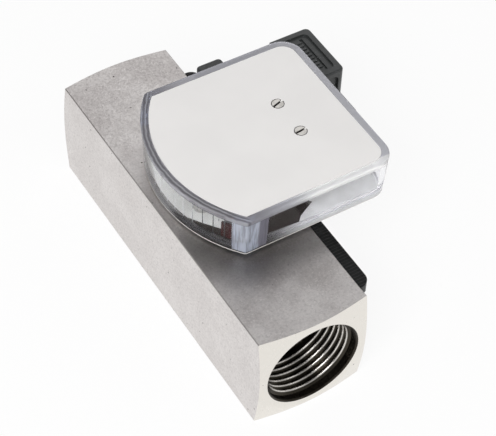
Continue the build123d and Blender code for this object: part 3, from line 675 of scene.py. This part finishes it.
@dataclass(frozen=True)
class ClearBox(ClearPlastic):
    """Clear plastic of the dial box, hazy in its rim, foot, lip and corner posts, where its colour is painted light
    and shade. Sizes are in millimetres.
    """

    ior: float = 1.25
    softness: float = 0.5
    pivot: Point = (30.6, 66.8)
    upright_facing: Band = Band(0.75, 0.95, 1, 0)
    milk_band: Band = Band(0, 0.1)
    rim_height: float = 35.9
    rim_haze: float = 0.55
    # painted light and shade of the rim: darker by the window, paler to the right, nearly white along the front
    rim_left: Colour = screen(138, 136, 142)
    rim_middle: Colour = screen(192, 192, 199)
    rim_right: Colour = screen(204, 204, 210)
    rim_front: Colour = screen(246, 246, 245)
    left_run: Band = Band(-8.0, 12.0)
    right_run: Band = Band(35.0, 48.0)
    front_run: Band = Band(8.0, 23.0)
    front_depth: float = 36.6
    window_run: Band = Band(-4.6, -3.4, 1, 0)
    # painted dark and light lines on the rim at the window
    line_dark: Colour = screen(84, 82, 86)
    line_light: Colour = screen(196, 197, 202)
    dark_band: Band = Band(-0.4, 1, 0, 0.5)
    light_band: Band = Band(-1, 0, 0.5, 0)
    line_pitch: float = 1.25
    line_drift: Lumps = Lumps(7.0, stretch=(1, 1, 0.1))
    line_swing: float = 9.0
    foot_height: float = 23.4
    foot_haze: Band = Band(0, 1, 0.05, 0.52)
    # painted shade of the foot by the window, painted light along the front
    foot_dark: Colour = screen(104, 102, 102)
    foot_pale: Colour = screen(234, 234, 235)
    foot_run: Band = Band(-6.0, 22.0)
    arc_run: Band = Band(54.0, 64.0)
    arc_share: float = 0.55
    # painted highlight: bright thin line along the bottom edge
    lip_height: float = 21.65
    lip_softness: float = 0.1
    lip_haze: float = 0.8
    lip_light: Colour = screen(238, 236, 232)
    # painted shade: thin dark line above the lip, away from the front
    seam_height: float = 22.15
    seam_softness: float = 0.15
    seam_haze: float = 0.5
    seam_dark: Colour = screen(70, 68, 66)
    post_place: Point = (-4.18, 30.4)
    post_reach: float = 4.1
    post_wall: Band = Band(-0.3, 0.0)
    post_end: float = 2.4
    post_haze: float = 0.46
    post_middle: float = -0.6
    # painted light on the posts' window side, painted shade on the other side
    post_light: Colour = screen(206, 212, 223)
    post_dim: Colour = screen(150, 148, 160)
    streaks: Lumps = Lumps(0.8, stretch=(1, 1, 0.05))
    streak_band: Band = Band(0.42, 0.62, 0, 0.55)
    streak_tint: float = -0.35

    def paint(self, graph: Graph) -> None:
        """Paint the box clear, with haze whose colour is painted light and shade where light gathers in the real one.

        Args:
            graph: The finish's graph.
        """
        self.glaze(graph)
        across, along, up = graph.spot
        pale = graph.times(graph.span(along, self.arc_run), self.arc_share)
        pale = graph.most(graph.span(across, self.foot_run), pale)
        upright = graph.span(graph.facing(Axis.UP), self.upright_facing)
        rim = graph.above(up, self.rim_height - self.softness, self.softness)
        foot = graph.below(up, self.foot_height, self.softness)
        post = self.near_post(graph)
        lip = graph.times(graph.below(up, self.lip_height, self.lip_softness), upright)
        seam = graph.times(graph.below(up, self.seam_height, self.seam_softness), upright, graph.minus(1.0, pale))
        # painted light and shade of the rim, foot, posts, lip and the dark line
        milk = self.rim_milk(graph)
        milk = graph.blend(foot, milk, graph.blend(pale, self.foot_dark, self.foot_pale))
        milk = graph.blend(post, milk, self.post_milk(graph))
        milk = graph.blend(lip, graph.blend(seam, milk, self.seam_dark), self.lip_light)
        zones = (rim, foot, post, seam, lip)
        hazes = (self.rim_haze, graph.span(pale, self.foot_haze), self.post_haze, self.seam_haze, self.lip_haze)
        haze = graph.most(*(graph.times(zone, share) for zone, share in zip(zones, hazes)))
        colour = graph.blend(graph.span(haze, self.milk_band), self.tint, milk)
        graph.set(Base_Color=colour, Transmission_Weight=graph.minus(1.0, haze))

    def rim_milk(self, graph: Graph) -> Socket:
        """Give the rim's painted light and shade: lined at the window, paler to the right, and nearly white along the
        front.

        Args:
            graph: The finish's graph.

        Returns:
            The colour's socket.
        """
        across, along, _ = graph.spot
        drift = graph.times(graph.noise(self.line_drift), self.line_swing)
        turns = graph.times(graph.reach(*graph.from_point(self.pivot)), math.tau / self.line_pitch)
        waves = graph.calc(Calc.SINE, graph.calc(Calc.PLUS, turns, drift))
        window = graph.span(across, self.window_run)
        milk = graph.blend(graph.span(across, self.left_run), self.rim_left, self.rim_middle)
        for band, colour in ((self.dark_band, self.line_dark), (self.light_band, self.line_light)):
            milk = graph.blend(graph.times(graph.span(waves, band), window), milk, colour)
        milk = graph.blend(graph.span(across, self.right_run), milk, self.rim_right)
        front = graph.times(graph.below(along, self.front_depth, self.softness), graph.span(across, self.front_run))
        return graph.blend(front, milk, self.rim_front)

    def near_post(self, graph: Graph) -> Socket:
        """Give where the two corner posts are, from the foot to just under the rim.

        Args:
            graph: The finish's graph.

        Returns:
            The posts, from 0 to 1.
        """
        across, _, up = graph.spot
        aside, beside = graph.from_point((self.post_place[0], self.pivot[1]))
        beside = graph.minus(graph.calc(Calc.SIZE, beside), self.post_place[1])
        post = graph.below(graph.reach(aside, beside), self.post_reach, self.softness)
        wall = graph.times(graph.span(beside, self.post_wall), graph.below(across, self.post_end, self.softness))
        return graph.times(graph.most(post, wall), graph.below(up, self.rim_height - self.softness, self.softness))

    def post_milk(self, graph: Graph) -> Socket:
        """Give the posts' painted light and shade: light on the window's side and dim on the other, with upright
        streaks.

        Args:
            graph: The finish's graph.

        Returns:
            The colour's socket.
        """
        dim = graph.above(graph.spot[Axis.ACROSS.value], self.post_middle - self.softness, 2 * self.softness)
        streaks = graph.span(graph.noise(self.streaks), self.streak_band)
        milk = graph.blend(dim, self.post_light, self.post_dim)
        return graph.blend(streaks, milk, tinted(self.post_dim, self.streak_tint))


@dataclass(frozen=True)
class Paint(Finish):
    """Even paint or film with a faint orange peel. Sizes are in millimetres."""

    colour: Colour
    roughness: float = 0.38
    peel_size: float = 0.8
    shade_size: float = 22.0
    shade_share: float = 0.035
    gloss: float = 0.5
    peel_depth: float = 0.004
    detail: float = 2
    noise_span: Point = (0.3, 0.7)
    smoother: float = 0.03
    rougher: float = 0.04

    def paint(self, graph: Graph) -> None:
        """Paint the colour with its faint clouds and peel.

        Args:
            graph: The finish's graph.
        """
        peel = graph.noise(Lumps(self.peel_size, self.detail))
        clouds = graph.span(graph.noise(Lumps(self.shade_size, self.detail)), Band(*self.noise_span))
        rough = Band(*self.noise_span, self.roughness - self.smoother, self.roughness + self.rougher)
        colour = graph.blend(clouds, self.colour, tinted(self.colour, -self.shade_share))
        graph.set(Base_Color=colour, Roughness=graph.span(peel, rough), Specular_IOR_Level=self.gloss)
        graph.bump(peel, self.peel_depth)


@dataclass(frozen=True)
class FadedInk(Paint):
    """Printing ink, paled towards the outlet by a painted reflection. Sizes are in millimetres."""

    faded: Colour = screen(198, 199, 201)
    fade_run: Band = Band(49.0, 56.0)

    def paint(self, graph: Graph) -> None:
        """Paint the ink and pale it under the painted reflection.

        Args:
            graph: The finish's graph.
        """
        super().paint(graph)
        # painted reflection: the marks pale towards the outlet, where the window's reflection covers them
        fading = graph.span(graph.spot[Axis.ALONG.value], self.fade_run)
        graph.set(Base_Color=graph.blend(fading, graph.fed("Base Color"), self.faded))


@dataclass(frozen=True)
class Moulding(Finish):
    """Moulded plastic or rubber with a spark-eroded grain and light rubbing. Sizes are in millimetres."""

    colour: Colour
    roughness: float = 0.45
    grain_size: float = 0.22
    grain_depth: float = 0.018
    rub_size: float = 6.0
    rub_share: float = 0.5
    grain_look: Point = (2, 0.6)
    rub_look: Point = (5, 0.65)
    rub_span: Point = (0.35, 0.75)
    rub_band: Band = Band(0.45, 0.8)
    grain_band: Band = Band(0.55, 0.8, 0, 0.25)
    rub_shine: float = 0.08

    def paint(self, graph: Graph) -> None:
        """Paint the grain, and rub it paler and smoother in places.

        Args:
            graph: The finish's graph.
        """
        grain = graph.noise(Lumps(self.grain_size, *self.grain_look))
        rub = graph.noise(Lumps(self.rub_size, *self.rub_look))
        paler = tinted(self.colour, self.rub_share)
        colour = graph.blend(graph.span(rub, self.rub_band), self.colour, paler)
        colour = graph.blend(graph.span(grain, self.grain_band), colour, paler)
        rough = Band(*self.rub_span, self.roughness, self.roughness - self.rub_shine)
        graph.set(Base_Color=colour, Roughness=graph.span(rub, rough))
        graph.bump(grain, self.grain_depth)


@dataclass(frozen=True)
class Anodised(Finish):
    """Drawn light metal with a coloured anodised skin, its grain along one axis. Sizes are in millimetres."""

    colour: Colour
    grain_axis: Axis = Axis.ALONG
    grain_size: float = 0.3
    grain_stretch: float = 0.04
    grain_band: Band = Band(0.4, 0.75, 0, 0.6)
    grain_depth: float = 0.008
    grain_look: Point = (3, 0.6)
    dust: Lumps = Lumps(2.4, 4, 0.7)
    dust_band: Band = Band(0.5, 0.8, 0, 0.4)
    pale_tint: float = 0.6
    roughness: Band = Band(0.3, 0.7, 0.34, 0.44)
    rib_pitch: float = 0.0
    rib_band: Band = Band(-0.6, 0.9)
    rib_depth: float = 0.1
    gloss: float = 0.5

    def paint(self, graph: Graph) -> None:
        """Paint the drawn grain and the dust, and cut fine ribs where the finish has them.

        Args:
            graph: The finish's graph.
        """
        stretch = [1.0, 1.0, 1.0]
        stretch[self.grain_axis.value] = self.grain_stretch
        grain = graph.noise(Lumps(self.grain_size, *self.grain_look, tuple(stretch)))
        dust = graph.noise(self.dust)
        paler = tinted(self.colour, self.pale_tint)
        colour = graph.blend(graph.span(grain, self.grain_band), self.colour, paler)
        colour = graph.blend(graph.span(dust, self.dust_band), colour, paler)
        graph.set(Base_Color=colour, Roughness=graph.span(grain, self.roughness), Specular_IOR_Level=self.gloss)
        graph.bump(grain, self.grain_depth)
        if self.rib_pitch:
            turns = graph.times(graph.spot[self.grain_axis.value], math.tau / self.rib_pitch)
            ribs = graph.calc(Calc.SINE, turns)
            graph.bump(graph.span(ribs, self.rib_band), self.rib_depth)


@dataclass
class Wardrobe:
    """All finishes of the meter: those of the record's slots, and those that only added pieces wear."""

    finishes: dict[str, Finish] = field(
        default_factory=lambda: {
            "block_steel": BlockSteel(),
            "bore_steel": TurnedMetal("bore steel", screen(196, 193, 190)),
            "tapped_steel": TappedSteel("tapped steel", screen(226, 222, 216), 0.24, mark_size=1.4),
            "spring_steel": TurnedMetal("spring steel", screen(176, 175, 174), mark_size=0.3),
            "screw_steel": ScrewSteel("screw steel", screen(214, 211, 206), 0.3, Axis.UP),
            "brass": TurnedMetal("brass", screen(205, 178, 112), 0.24, Axis.UP),
            "blade_tin": TurnedMetal("blade tin", screen(206, 206, 200), 0.18, Axis.ACROSS),
            "magnet_dark": TurnedMetal("sintered magnet", screen(92, 92, 96), 0.5, mark_size=0.5),
            "clear_plastic": ClearBox("clear plastic"),
            "clear_foil": ClearPlastic("clear foil", screen(252, 252, 250), 1.05, 0.0, 5.0, gloss=0.0),
            "reed_glass": ClearPlastic("reed glass", screen(214, 232, 216), 1.5, 0.02, 3.0),
            "plate_white": Paint("plate white", screen(238, 236, 234)),
            "sheet_white": Paint("sheet white", screen(224, 225, 224), 0.45, 0.8, 11.0, 0.22),
            "flag_red": Paint("flag red", screen(48, 4, 7), 0.5, 0.3, 3.0, 0.1, 0.05),
            # dial marks, paled towards the outlet by a painted reflection
            "mark_ink": FadedInk("mark ink", screen(34, 34, 40), 0.6, 0.3, 3.0, 0.1),
            "bush_white": Moulding("bush white", screen(232, 230, 222), 0.4, rub_share=-0.06),
            "board_green": Moulding("board green", screen(32, 92, 58), 0.4, 0.5, 0.01),
            "rubber_black": Moulding("rubber black", screen(38, 38, 39), 0.7, 0.3, 0.03, 4.0, 0.3),
            # painted shade: dark sheet for the dial box's near corner
            "shade_sheet_black": Moulding("lining black", screen(36, 29, 26), 0.6),
            "housing_black": Moulding("housing black", screen(46, 47, 48), 0.46),
            "plug_black": Moulding("plug black", screen(56, 58, 58), 0.42),
            "rail_black": Anodised("rail black", screen(22, 22, 22), rib_pitch=1.2, gloss=0.25),
            "pointer_sheet": Anodised("pointer sheet", screen(70, 70, 72), Axis.ACROSS),
        }
    )
    made: dict[str, bpy.types.Material] = field(default_factory=dict)

    def dress(self, piece: bpy.types.Object, finish: str) -> None:
        """Give a piece a finish, whose material is made on its first use.

        Args:
            piece: A mesh object.
            finish: The finish's name in the wardrobe.
        """
        if finish not in self.made:
            self.made[finish] = self.finishes[finish].material()
        piece.data.materials.clear()
        piece.data.materials.append(self.made[finish])

    def dress_frame(self, frame: dict) -> None:
        """Dress every carried-over node in the finish that the record names for it.

        Args:
            frame: What the frame's loading returned.
        """
        for part in frame["record"]["subparts"]:
            self.dress(frame["nodes"][part["node"]], part["material_slot"])
            log.info("%s: carried over, %s", part["node"], part["material_slot"])


def add_piece(name: str, mesh: bpy.types.Mesh) -> bpy.types.Object:
    """Put a mesh in the scene as a piece of the meter's body.

    Args:
        name: Name of the piece.
        mesh: Its mesh, in the record's frame.

    Returns:
        The new object.
    """
    piece = bpy.data.objects.new(name, mesh)
    bpy.context.scene.collection.objects.link(piece)
    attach(piece, "meter_body")
    return piece


def new_mesh(name: str, work: bmesh.types.BMesh) -> bpy.types.Mesh:
    """Turn finished mesh work into a mesh.

    Args:
        name: Name of the mesh.
        work: The work, which is freed.

    Returns:
        The mesh.
    """
    mesh = bpy.data.meshes.new(name)
    work.to_mesh(mesh)
    work.free()
    return mesh


def swept_mesh(name: str, sections: list[list[Vector]]) -> bpy.types.Mesh:
    """Join equal sections into one closed, smooth mesh.

    Args:
        name: Name of the mesh.
        sections: Each section's points, in order along the sweep.

    Returns:
        The mesh.
    """
    work = bmesh.new()
    rings = [[work.verts.new(point) for point in section] for section in sections]
    for near, far in zip(rings, rings[1:]):
        for index in range(len(near)):
            after = (index + 1) % len(near)
            work.faces.new((near[index], near[after], far[after], far[index]))
    work.faces.new(rings[0])
    work.faces.new(reversed(rings[-1]))
    bmesh.ops.recalc_face_normals(work, faces=work.faces)
    mesh = new_mesh(name, work)
    mesh.polygons.foreach_set("use_smooth", [True] * len(mesh.polygons))
    return mesh


def filled_mesh(curve: bpy.types.Curve) -> bpy.types.Mesh:
    """Turn a flat curve or a text into a mesh, and delete the curve.

    Args:
        curve: The curve's data.

    Returns:
        The mesh.
    """
    holder = bpy.data.objects.new(curve.name, curve)
    bpy.context.scene.collection.objects.link(holder)
    mesh = bpy.data.meshes.new_from_object(holder.evaluated_get(bpy.context.evaluated_depsgraph_get()))
    bpy.data.objects.remove(holder)
    bpy.data.curves.remove(curve)
    return mesh


@dataclass
class PortThread:
    """Inside pipe thread of one port: a helical ridge that stands on the port's wall. Sizes are in metres."""

    name: str
    flow: Flow
    mouth: float
    wall_radius: float = 16.61 * MM
    crest_radius: float = 15.15 * MM
    pitch: float = 2.309 * MM
    first_turn: float = 1.9 * MM
    last_turn: float = 17.2 * MM
    root_half: float = 1.06 * MM
    flank_half: float = 0.93 * MM
    crest_half: float = 0.24 * MM
    tip_half: float = 0.10 * MM
    root_rise: float = 0.07
    shoulder_rise: float = 0.93
    steps_per_turn: int = 72
    run_out: float = 0.35
    least_height: float = 0.02

    def profile(self) -> list[Point]:
        """Give the ridge's section.

        Returns:
            Places along the axis, each with its share of the full height.
        """
        halves = (self.root_half, self.flank_half, self.crest_half, self.tip_half)
        rising = list(zip(halves, (0.0, self.root_rise, self.shoulder_rise, 1.0)))
        return [(-along, rise) for along, rise in rising] + list(reversed(rising))

    def height_share(self, turn: float, turns: float) -> float:
        """Give how much of the ridge's full height stands at a turn; it runs out at both ends."""
        return max(self.least_height, min(1.0, min(turn, turns - turn) / self.run_out))

    def build(self, wardrobe: Wardrobe) -> list[bpy.types.Object]:
        """Build and dress the ridge.

        Args:
            wardrobe: The finishes.

        Returns:
            The ridge's object, in a list.
        """
        turns = (self.last_turn - self.first_turn) / self.pitch
        steps = round(turns * self.steps_per_turn)
        sections = []
        for step in range(steps + 1):
            turn = turns * step / steps
            angle = math.tau * turn * self.flow.value
            height = (self.wall_radius - self.crest_radius) * self.height_share(turn, turns)
            section = []
            for along, rise in self.profile():
                radius = self.wall_radius - height * rise
                y = self.mouth + self.flow.value * (self.first_turn + turn * self.pitch + along)
                section.append(Vector((radius * math.cos(angle), y, radius * math.sin(angle))))
            sections.append(section)
        piece = add_piece(self.name, swept_mesh(self.name, sections))
        wardrobe.dress(piece, "tapped_steel")
        return [piece]


@dataclass
class ReturnSpring:
    """Coil spring behind the piston, built once at its solid's length; the real one shortens as the piston moves.
    Sizes are in metres.
    """

    name: str = "coil_spring"
    mean_radius: float = 3.5 * MM
    wire_radius: float = 0.4 * MM
    turns: int = 10
    travel: float = 34.85 * MM
    steps_per_turn: int = 40
    sides: int = 12

    def build(self, wardrobe: Wardrobe) -> list[bpy.types.Object]:
        """Build and dress the spring in the place of its solid.

        Args:
            wardrobe: The finishes.

        Returns:
            The spring's object, in a list.
        """
        low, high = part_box("return_spring")
        start, end = low.y + self.wire_radius, high.y - self.wire_radius
        slope = math.atan2(end - start, math.tau * self.mean_radius * self.turns)
        steps = self.turns * self.steps_per_turn
        sections = []
        for step in range(steps + 1):
            turn = math.tau * self.turns * step / steps
            outward = Vector((math.cos(turn), 0, math.sin(turn)))
            around = Vector((-math.sin(turn), 0, math.cos(turn)))
            aside = Vector((0, math.cos(slope), 0)) - around * math.sin(slope)
            middle = outward * self.mean_radius + Vector((0, start + (end - start) * step / steps, 0))
            ring = (math.tau * side / self.sides for side in range(self.sides))
            sections.append([middle + (outward * math.cos(a) + aside * math.sin(a)) * self.wire_radius for a in ring])
        piece = add_piece(self.name, swept_mesh(self.name, sections))
        wardrobe.dress(piece, "spring_steel")
        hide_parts("return_spring")
        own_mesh(piece)
        return [piece]


@dataclass
class DialSheet:
    """Bright thin sheet that lines the floor of the dial box, cut away at its near left corner, where a dark sheet of
    painted shade lies.

    Lengths are in metres, but the cut's points, which run from the window to the front wall, are in millimetres.
    """

    pivot: Point = (30.6 * MM, 66.8 * MM)
    thickness: float = 0.22 * MM
    lift: float = 0.02 * MM
    margin: float = 0.1 * MM
    reach: float = 45.0 * MM
    half_width: float = 29.6 * MM
    right: float = 48.2 * MM
    far_angle: float = 37.0
    near_angle: float = -14.0
    corner_angle: float = -38.0
    arc_steps: int = 32
    hole_steps: int = 28
    cut: tuple[Point, ...] = (
        (-10.3, 51.9),
        (-6.5, 47.1),
        (-4.2, 45.3),
        (-0.5, 46.2),
        (8.0, 46.9),
        (17.0, 46.6),
        (23.5, 45.0),
        (24.6, 43.2),
        (21.0, 41.2),
        (18.0, 39.4),
        (16.2, 37.4),
    )
    boss_radius: float = 4.0 * MM
    post_radius: float = 3.2 * MM
    post_spacing: float = 7.15 * MM
    screw_radius: float = 2.7 * MM
    screw_places: tuple[Point, ...] = ((24.5 * MM, 38.0), (38.2 * MM, 13.0))

    @staticmethod
    def around(middle: Point, reach: float, angle: float) -> Point:
        """Give the point at a reach and an angle from a middle, where the angle 0 points at the window."""
        return middle[0] - reach * math.cos(angle), middle[1] + reach * math.sin(angle)

    def along_window(self, start: float, end: float) -> list[Point]:
        """Give points along the window between two angles about the pivot, in degrees."""
        angles = (math.radians(start + (end - start) * step / self.arc_steps) for step in range(self.arc_steps + 1))
        return [self.around(self.pivot, self.reach, angle) for angle in angles]

    def cut_line(self) -> list[Point]:
        """Give the cut's points in metres, from the window to the front wall."""
        return [(x * MM, y * MM) for x, y in self.cut]

    def outline(self) -> list[Point]:
        """Give the sheet's outline, first along the window and then along the cut."""
        ends = [(self.right, self.pivot[1] - self.half_width), (self.right, self.pivot[1] + self.half_width)]
        return self.along_window(self.far_angle, self.near_angle) + self.cut_line() + ends

    def corner(self) -> list[Point]:
        """Give the outline of the dark sheet of painted shade in the cut corner."""
        return self.along_window(self.near_angle, self.corner_angle) + self.cut_line()[::-1]

    def holes(self) -> list[list[Point]]:
        """Give the holes, each a margin larger than the boss, post or screw that stands in it.

        Returns:
            The holes' rings of points.
        """
        x, y = self.pivot
        found = [(self.pivot, self.boss_radius)]
        for side in (-1, 1):
            found.append(((x, y + side * self.post_spacing), self.post_radius))
            for reach, degrees in self.screw_places:
                place = self.around(self.pivot, reach, side * math.radians(degrees))
                found.append((place, self.screw_radius))
        turns = [math.pi - math.tau * step / self.hole_steps for step in range(self.hole_steps)]
        return [[self.around(middle, radius + self.margin, turn) for turn in turns] for middle, radius in found]

    def build(self, wardrobe: Wardrobe) -> list[bpy.types.Object]:
        """Build and dress the sheet and the dark sheet of painted shade beside it.

        Args:
            wardrobe: The finishes.

        Returns:
            The two objects.
        """
        sheet = self.add_sheet("dial_sheet", [self.outline(), *self.holes()])
        # painted shade: a dark sheet where shade fills the box's near corner
        lining = self.add_sheet("corner_shade_sheet", [self.corner()])
        wardrobe.dress(sheet, "sheet_white")
        wardrobe.dress(lining, "shade_sheet_black")
        return [sheet, lining]

    def add_sheet(self, name: str, rings: list[list[Point]]) -> bpy.types.Object:
        """Lay a thin sheet on the clear floor.

        Args:
            name: Name of the piece.
            rings: Its outline and then its holes.

        Returns:
            The sheet's object.
        """
        curve = bpy.data.curves.new(name, "CURVE")
        curve.dimensions = "2D"
        curve.fill_mode = "BOTH"
        curve.extrude = self.thickness / 2
        for ring in rings:
            spline = curve.splines.new("POLY")
            spline.points.add(len(ring) - 1)
            for point, (x, y) in zip(spline.points, ring):
                point.co = (x, y, 0, 1)
            spline.use_cyclic_u = True
        mesh = filled_mesh(curve)
        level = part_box("clear_wall")[0].z + self.thickness / 2 + self.lift
        mesh.transform(Matrix.Translation((0, 0, level)))
        return add_piece(name, mesh)


@dataclass
class DialMarks:
    """Printed ticks and plain numbers on the inside of the scale foil. Sizes are in metres, angles in degrees."""

    name: str = "dial_marks"
    pivot_x: float = 30.6 * MM
    thickness: float = 0.02 * MM
    gap: float = 0.015 * MM
    foil_thickness: float = 0.3 * MM
    first_tick: float = -32.5
    tick_step: float = 5.0
    tick_count: int = 14
    tick_width: float = 0.34 * MM
    edge_margin: float = 0.5 * MM
    number_height: float = 1.9 * MM
    number_margin: float = 0.8 * MM

    def build(self, wardrobe: Wardrobe) -> list[bpy.types.Object]:
        """Build and dress the marks along the foil.

        Args:
            wardrobe: The finishes.

        Returns:
            The marks' object, in a list.
        """
        low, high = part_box("scale_foil")
        work = bmesh.new()
        for index in range(self.tick_count):
            angle = math.radians(self.first_tick + index * self.tick_step)
            self.add_tick(work, angle, low, high)
            if index % 2 == 0:
                self.add_number(work, str(index // 2 + 1), angle + math.radians(self.tick_step / 2), low, high)
        piece = add_piece(self.name, new_mesh(self.name, work))
        wardrobe.dress(piece, "mark_ink")
        return [piece]

    def radius(self, low: Vector) -> float:
        """Give the radius of the marks' outside, a gap inside the foil, from the foil's lowest corner."""
        return self.pivot_x - low.x - self.foil_thickness - self.gap

    def point(self, radius: float, middle: float, angle: float, z: float) -> Vector:
        """Give the point of the foil at an angle from its middle towards the outlet."""
        return Vector((self.pivot_x - radius * math.cos(angle), middle + radius * math.sin(angle), z))

    def add_tick(self, work: bmesh.types.BMesh, angle: float, low: Vector, high: Vector) -> None:
        """Add one upright tick as a thin closed bar.

        Args:
            work: The mesh being built.
            angle: The tick's angle.
            low: The foil's lowest corner.
            high: The foil's highest corner.
        """
        radius, middle = self.radius(low), (low.y + high.y) / 2
        half = self.tick_width / 2 / radius
        foot, head = low.z + self.edge_margin, high.z - self.edge_margin
        corners = [
            work.verts.new(self.point(radius - depth, middle, angle + side * half, z))
            for depth in (0, self.thickness)
            for side, z in ((-1, foot), (1, foot), (1, head), (-1, head))
        ]
        front, back = corners[:4], corners[4:]
        work.faces.new(front)
        work.faces.new(reversed(back))
        for index in range(4):
            after = (index + 1) % 4
            work.faces.new((front[after], front[index], back[index], back[after]))

    def add_number(self, work: bmesh.types.BMesh, text: str, angle: float, low: Vector, high: Vector) -> None:
        """Add one number, bent round the foil and read from outside.

        Args:
            work: The mesh being built.
            text: The number.
            angle: The number's angle.
            low: The foil's lowest corner.
            high: The foil's highest corner.
        """
        curve = bpy.data.curves.new("number", "FONT")
        curve.body = text
        curve.size = self.number_height
        curve.align_x = "CENTER"
        curve.extrude = self.thickness / 2
        mesh = filled_mesh(curve)
        radius, middle = self.radius(low), (low.y + high.y) / 2
        base = high.z - self.number_margin - self.number_height
        for vertex in mesh.vertices:
            x, y, z = vertex.co
            vertex.co = self.point(radius - self.thickness / 2 + z, middle, angle - x / radius, base + y)
        work.from_mesh(mesh)
        bpy.data.meshes.remove(mesh)


@dataclass(frozen=True)
class Lamp:
    """A soft square lamp that points at the object: its name, place and side in metres, and watts."""

    name: str
    place: Place
    size: float
    power: float


@dataclass
class Studio:
    """Pale floor, soft lamps and a white world. Sizes are in metres."""

    floor_size: float = 6.0
    floor_colour: Colour = screen(248, 248, 247)
    floor_roughness: float = 0.8
    floor_clouds: Lumps = Lumps(60.0, 2)
    cloud_band: Band = Band(0.3, 0.7)
    cloud_tint: float = -0.01
    white: Colour = (1, 1, 1)
    white_share: float = 0.9
    horizon: Colour = (0.95, 0.95, 0.95)
    zenith: Colour = (0.16, 0.16, 0.17)
    sky_band: Band = Band(0.25, 0.75)
    fill_strength: float = 0.5
    lamps: tuple[Lamp, ...] = (
        Lamp("key lamp", (-0.75, -0.55, 0.95), 0.7, 16.0),
        Lamp("back softbox", (0.5, 1.0, 0.88), 1.0, 3.2),
        Lamp("side lamp", (0.9, -0.7, 0.9), 0.8, 3.0),
    )

    def build(self) -> None:
        """Build the floor, the world and the lamps."""
        self.build_floor()
        self.build_world()
        for lamp in self.lamps:
            self.add_lamp(lamp)

    def build_floor(self) -> None:
        """Build the floor under the block, white to the camera but with the object's shadow."""
        half = self.floor_size / 2
        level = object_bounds()[0][2]
        mesh = bpy.data.meshes.new("floor")
        corners = [(-half, -half, level), (half, -half, level), (half, half, level), (-half, half, level)]
        mesh.from_pydata(corners, [], [(0, 1, 2, 3)])
        floor = bpy.data.objects.new("floor", mesh)
        bpy.context.scene.collection.objects.link(floor)
        graph = Graph("studio floor")
        clouds = graph.span(graph.noise(self.floor_clouds), self.cloud_band)
        shade = tinted(self.floor_colour, self.cloud_tint)
        graph.set(Base_Color=graph.blend(clouds, self.floor_colour, shade), Roughness=self.floor_roughness)
        self.whiten(graph)
        mesh.materials.append(graph.material)
        floor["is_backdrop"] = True

    def whiten(self, graph: Graph) -> None:
        """Let the camera, metal and glass see the floor nearly white, with its shadows kept.

        Args:
            graph: The floor's graph.
        """
        rays = graph.add("LightPath").outputs
        seen = graph.most(rays["Is Camera Ray"], rays["Is Glossy Ray"], rays["Is Transmission Ray"])
        glow = graph.light("Emission", self.white)
        graph.show(graph.either(graph.times(seen, self.white_share), graph.shader.outputs["BSDF"], glow))

    def build_world(self) -> None:
        """Build the world: white to the camera, and a plain soft sky for light and gloss."""
        world = bpy.data.worlds.new("studio world")
        bpy.context.scene.world = world
        world.use_nodes = True
        tree = Tree(world.node_tree, "OutputWorld")
        height = tree.parts(tree.coordinates.outputs["Generated"])[Axis.UP.value]
        sky = tree.blend(tree.span(height, self.sky_band), self.horizon, self.zenith)
        soft = tree.light("Background", sky, self.fill_strength)
        seen = tree.add("LightPath").outputs["Is Camera Ray"]
        tree.show(tree.either(seen, soft, tree.light("Background", self.white)))

    def add_lamp(self, lamp: Lamp) -> None:
        """Add one of the lamps.

        Args:
            lamp: The lamp.
        """
        data = bpy.data.lights.new(lamp.name, "AREA")
        data.shape = "SQUARE"
        data.size = lamp.size
        data.energy = lamp.power
        low, high = (Vector(corner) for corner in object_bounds())
        aim = (low + high) / 2 - Vector(lamp.place)
        holder = bpy.data.objects.new(lamp.name, data)
        holder.location = lamp.place
        holder.rotation_euler = aim.to_track_quat("-Z", "Y").to_euler()
        bpy.context.scene.collection.objects.link(holder)


@dataclass
class PhotoCamera:
    """Camera at the photograph's view of the meter. Lengths are in metres, angles in degrees."""

    focal_pixels: float = 1808.6
    picture_width: int = 496
    sensor: float = 36.0
    nearest: float = 0.01
    azimuth: float = -33.4192
    elevation: float = 48.6257
    roll: float = 2.9297
    distance: float = 0.560992
    right_offset: float = -0.020281
    up_offset: float = 0.031693
    aim: Place = (0.0, 0.0022, 0.020)

    def build(self) -> None:
        """Build the camera and make it the scene's own."""
        azimuth, elevation, roll = (math.radians(a) for a in (self.azimuth, self.elevation, self.roll))
        flat = math.cos(elevation)
        back = Vector((math.sin(azimuth) * flat, -math.cos(azimuth) * flat, math.sin(elevation)))
        level = Vector((math.cos(azimuth), math.sin(azimuth), 0))
        upright = back.cross(level)
        right = math.cos(roll) * level + math.sin(roll) * upright
        up = math.cos(roll) * upright - math.sin(roll) * level
        place = Vector(self.aim) + self.right_offset * right + self.up_offset * up + self.distance * back
        data = bpy.data.cameras.new("photo camera")
        data.sensor_width = self.sensor
        data.lens = self.focal_pixels * self.sensor / self.picture_width
        data.clip_start = self.nearest
        camera = bpy.data.objects.new("photo camera", data)
        turn = Matrix((right, up, back)).transposed()
        camera.matrix_world = Matrix.Translation(place) @ turn.to_4x4()
        bpy.context.scene.collection.objects.link(camera)
        bpy.context.scene.camera = camera


def main() -> None:
    """Load the frame, dress its nodes, build the added pieces, the studio and the camera."""
    logging.basicConfig(level=logging.INFO, format="%(message)s")
    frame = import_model()
    wardrobe = Wardrobe()
    wardrobe.dress_frame(frame)
    low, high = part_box("steel_block")
    makers = (
        PortThread("inlet_thread", Flow.INLET, low.y),
        PortThread("outlet_thread", Flow.OUTLET, high.y),
        ReturnSpring(),
        DialSheet(),
        DialMarks(),
    )
    for maker in makers:
        for piece in maker.build(wardrobe):
            log.info("%s: added, %d faces", piece.name, len(piece.data.polygons))
    Studio().build()
    PhotoCamera().build()
    bpy.context.scene.view_settings.view_transform = "Standard"


if __name__ == "__main__":
    main()
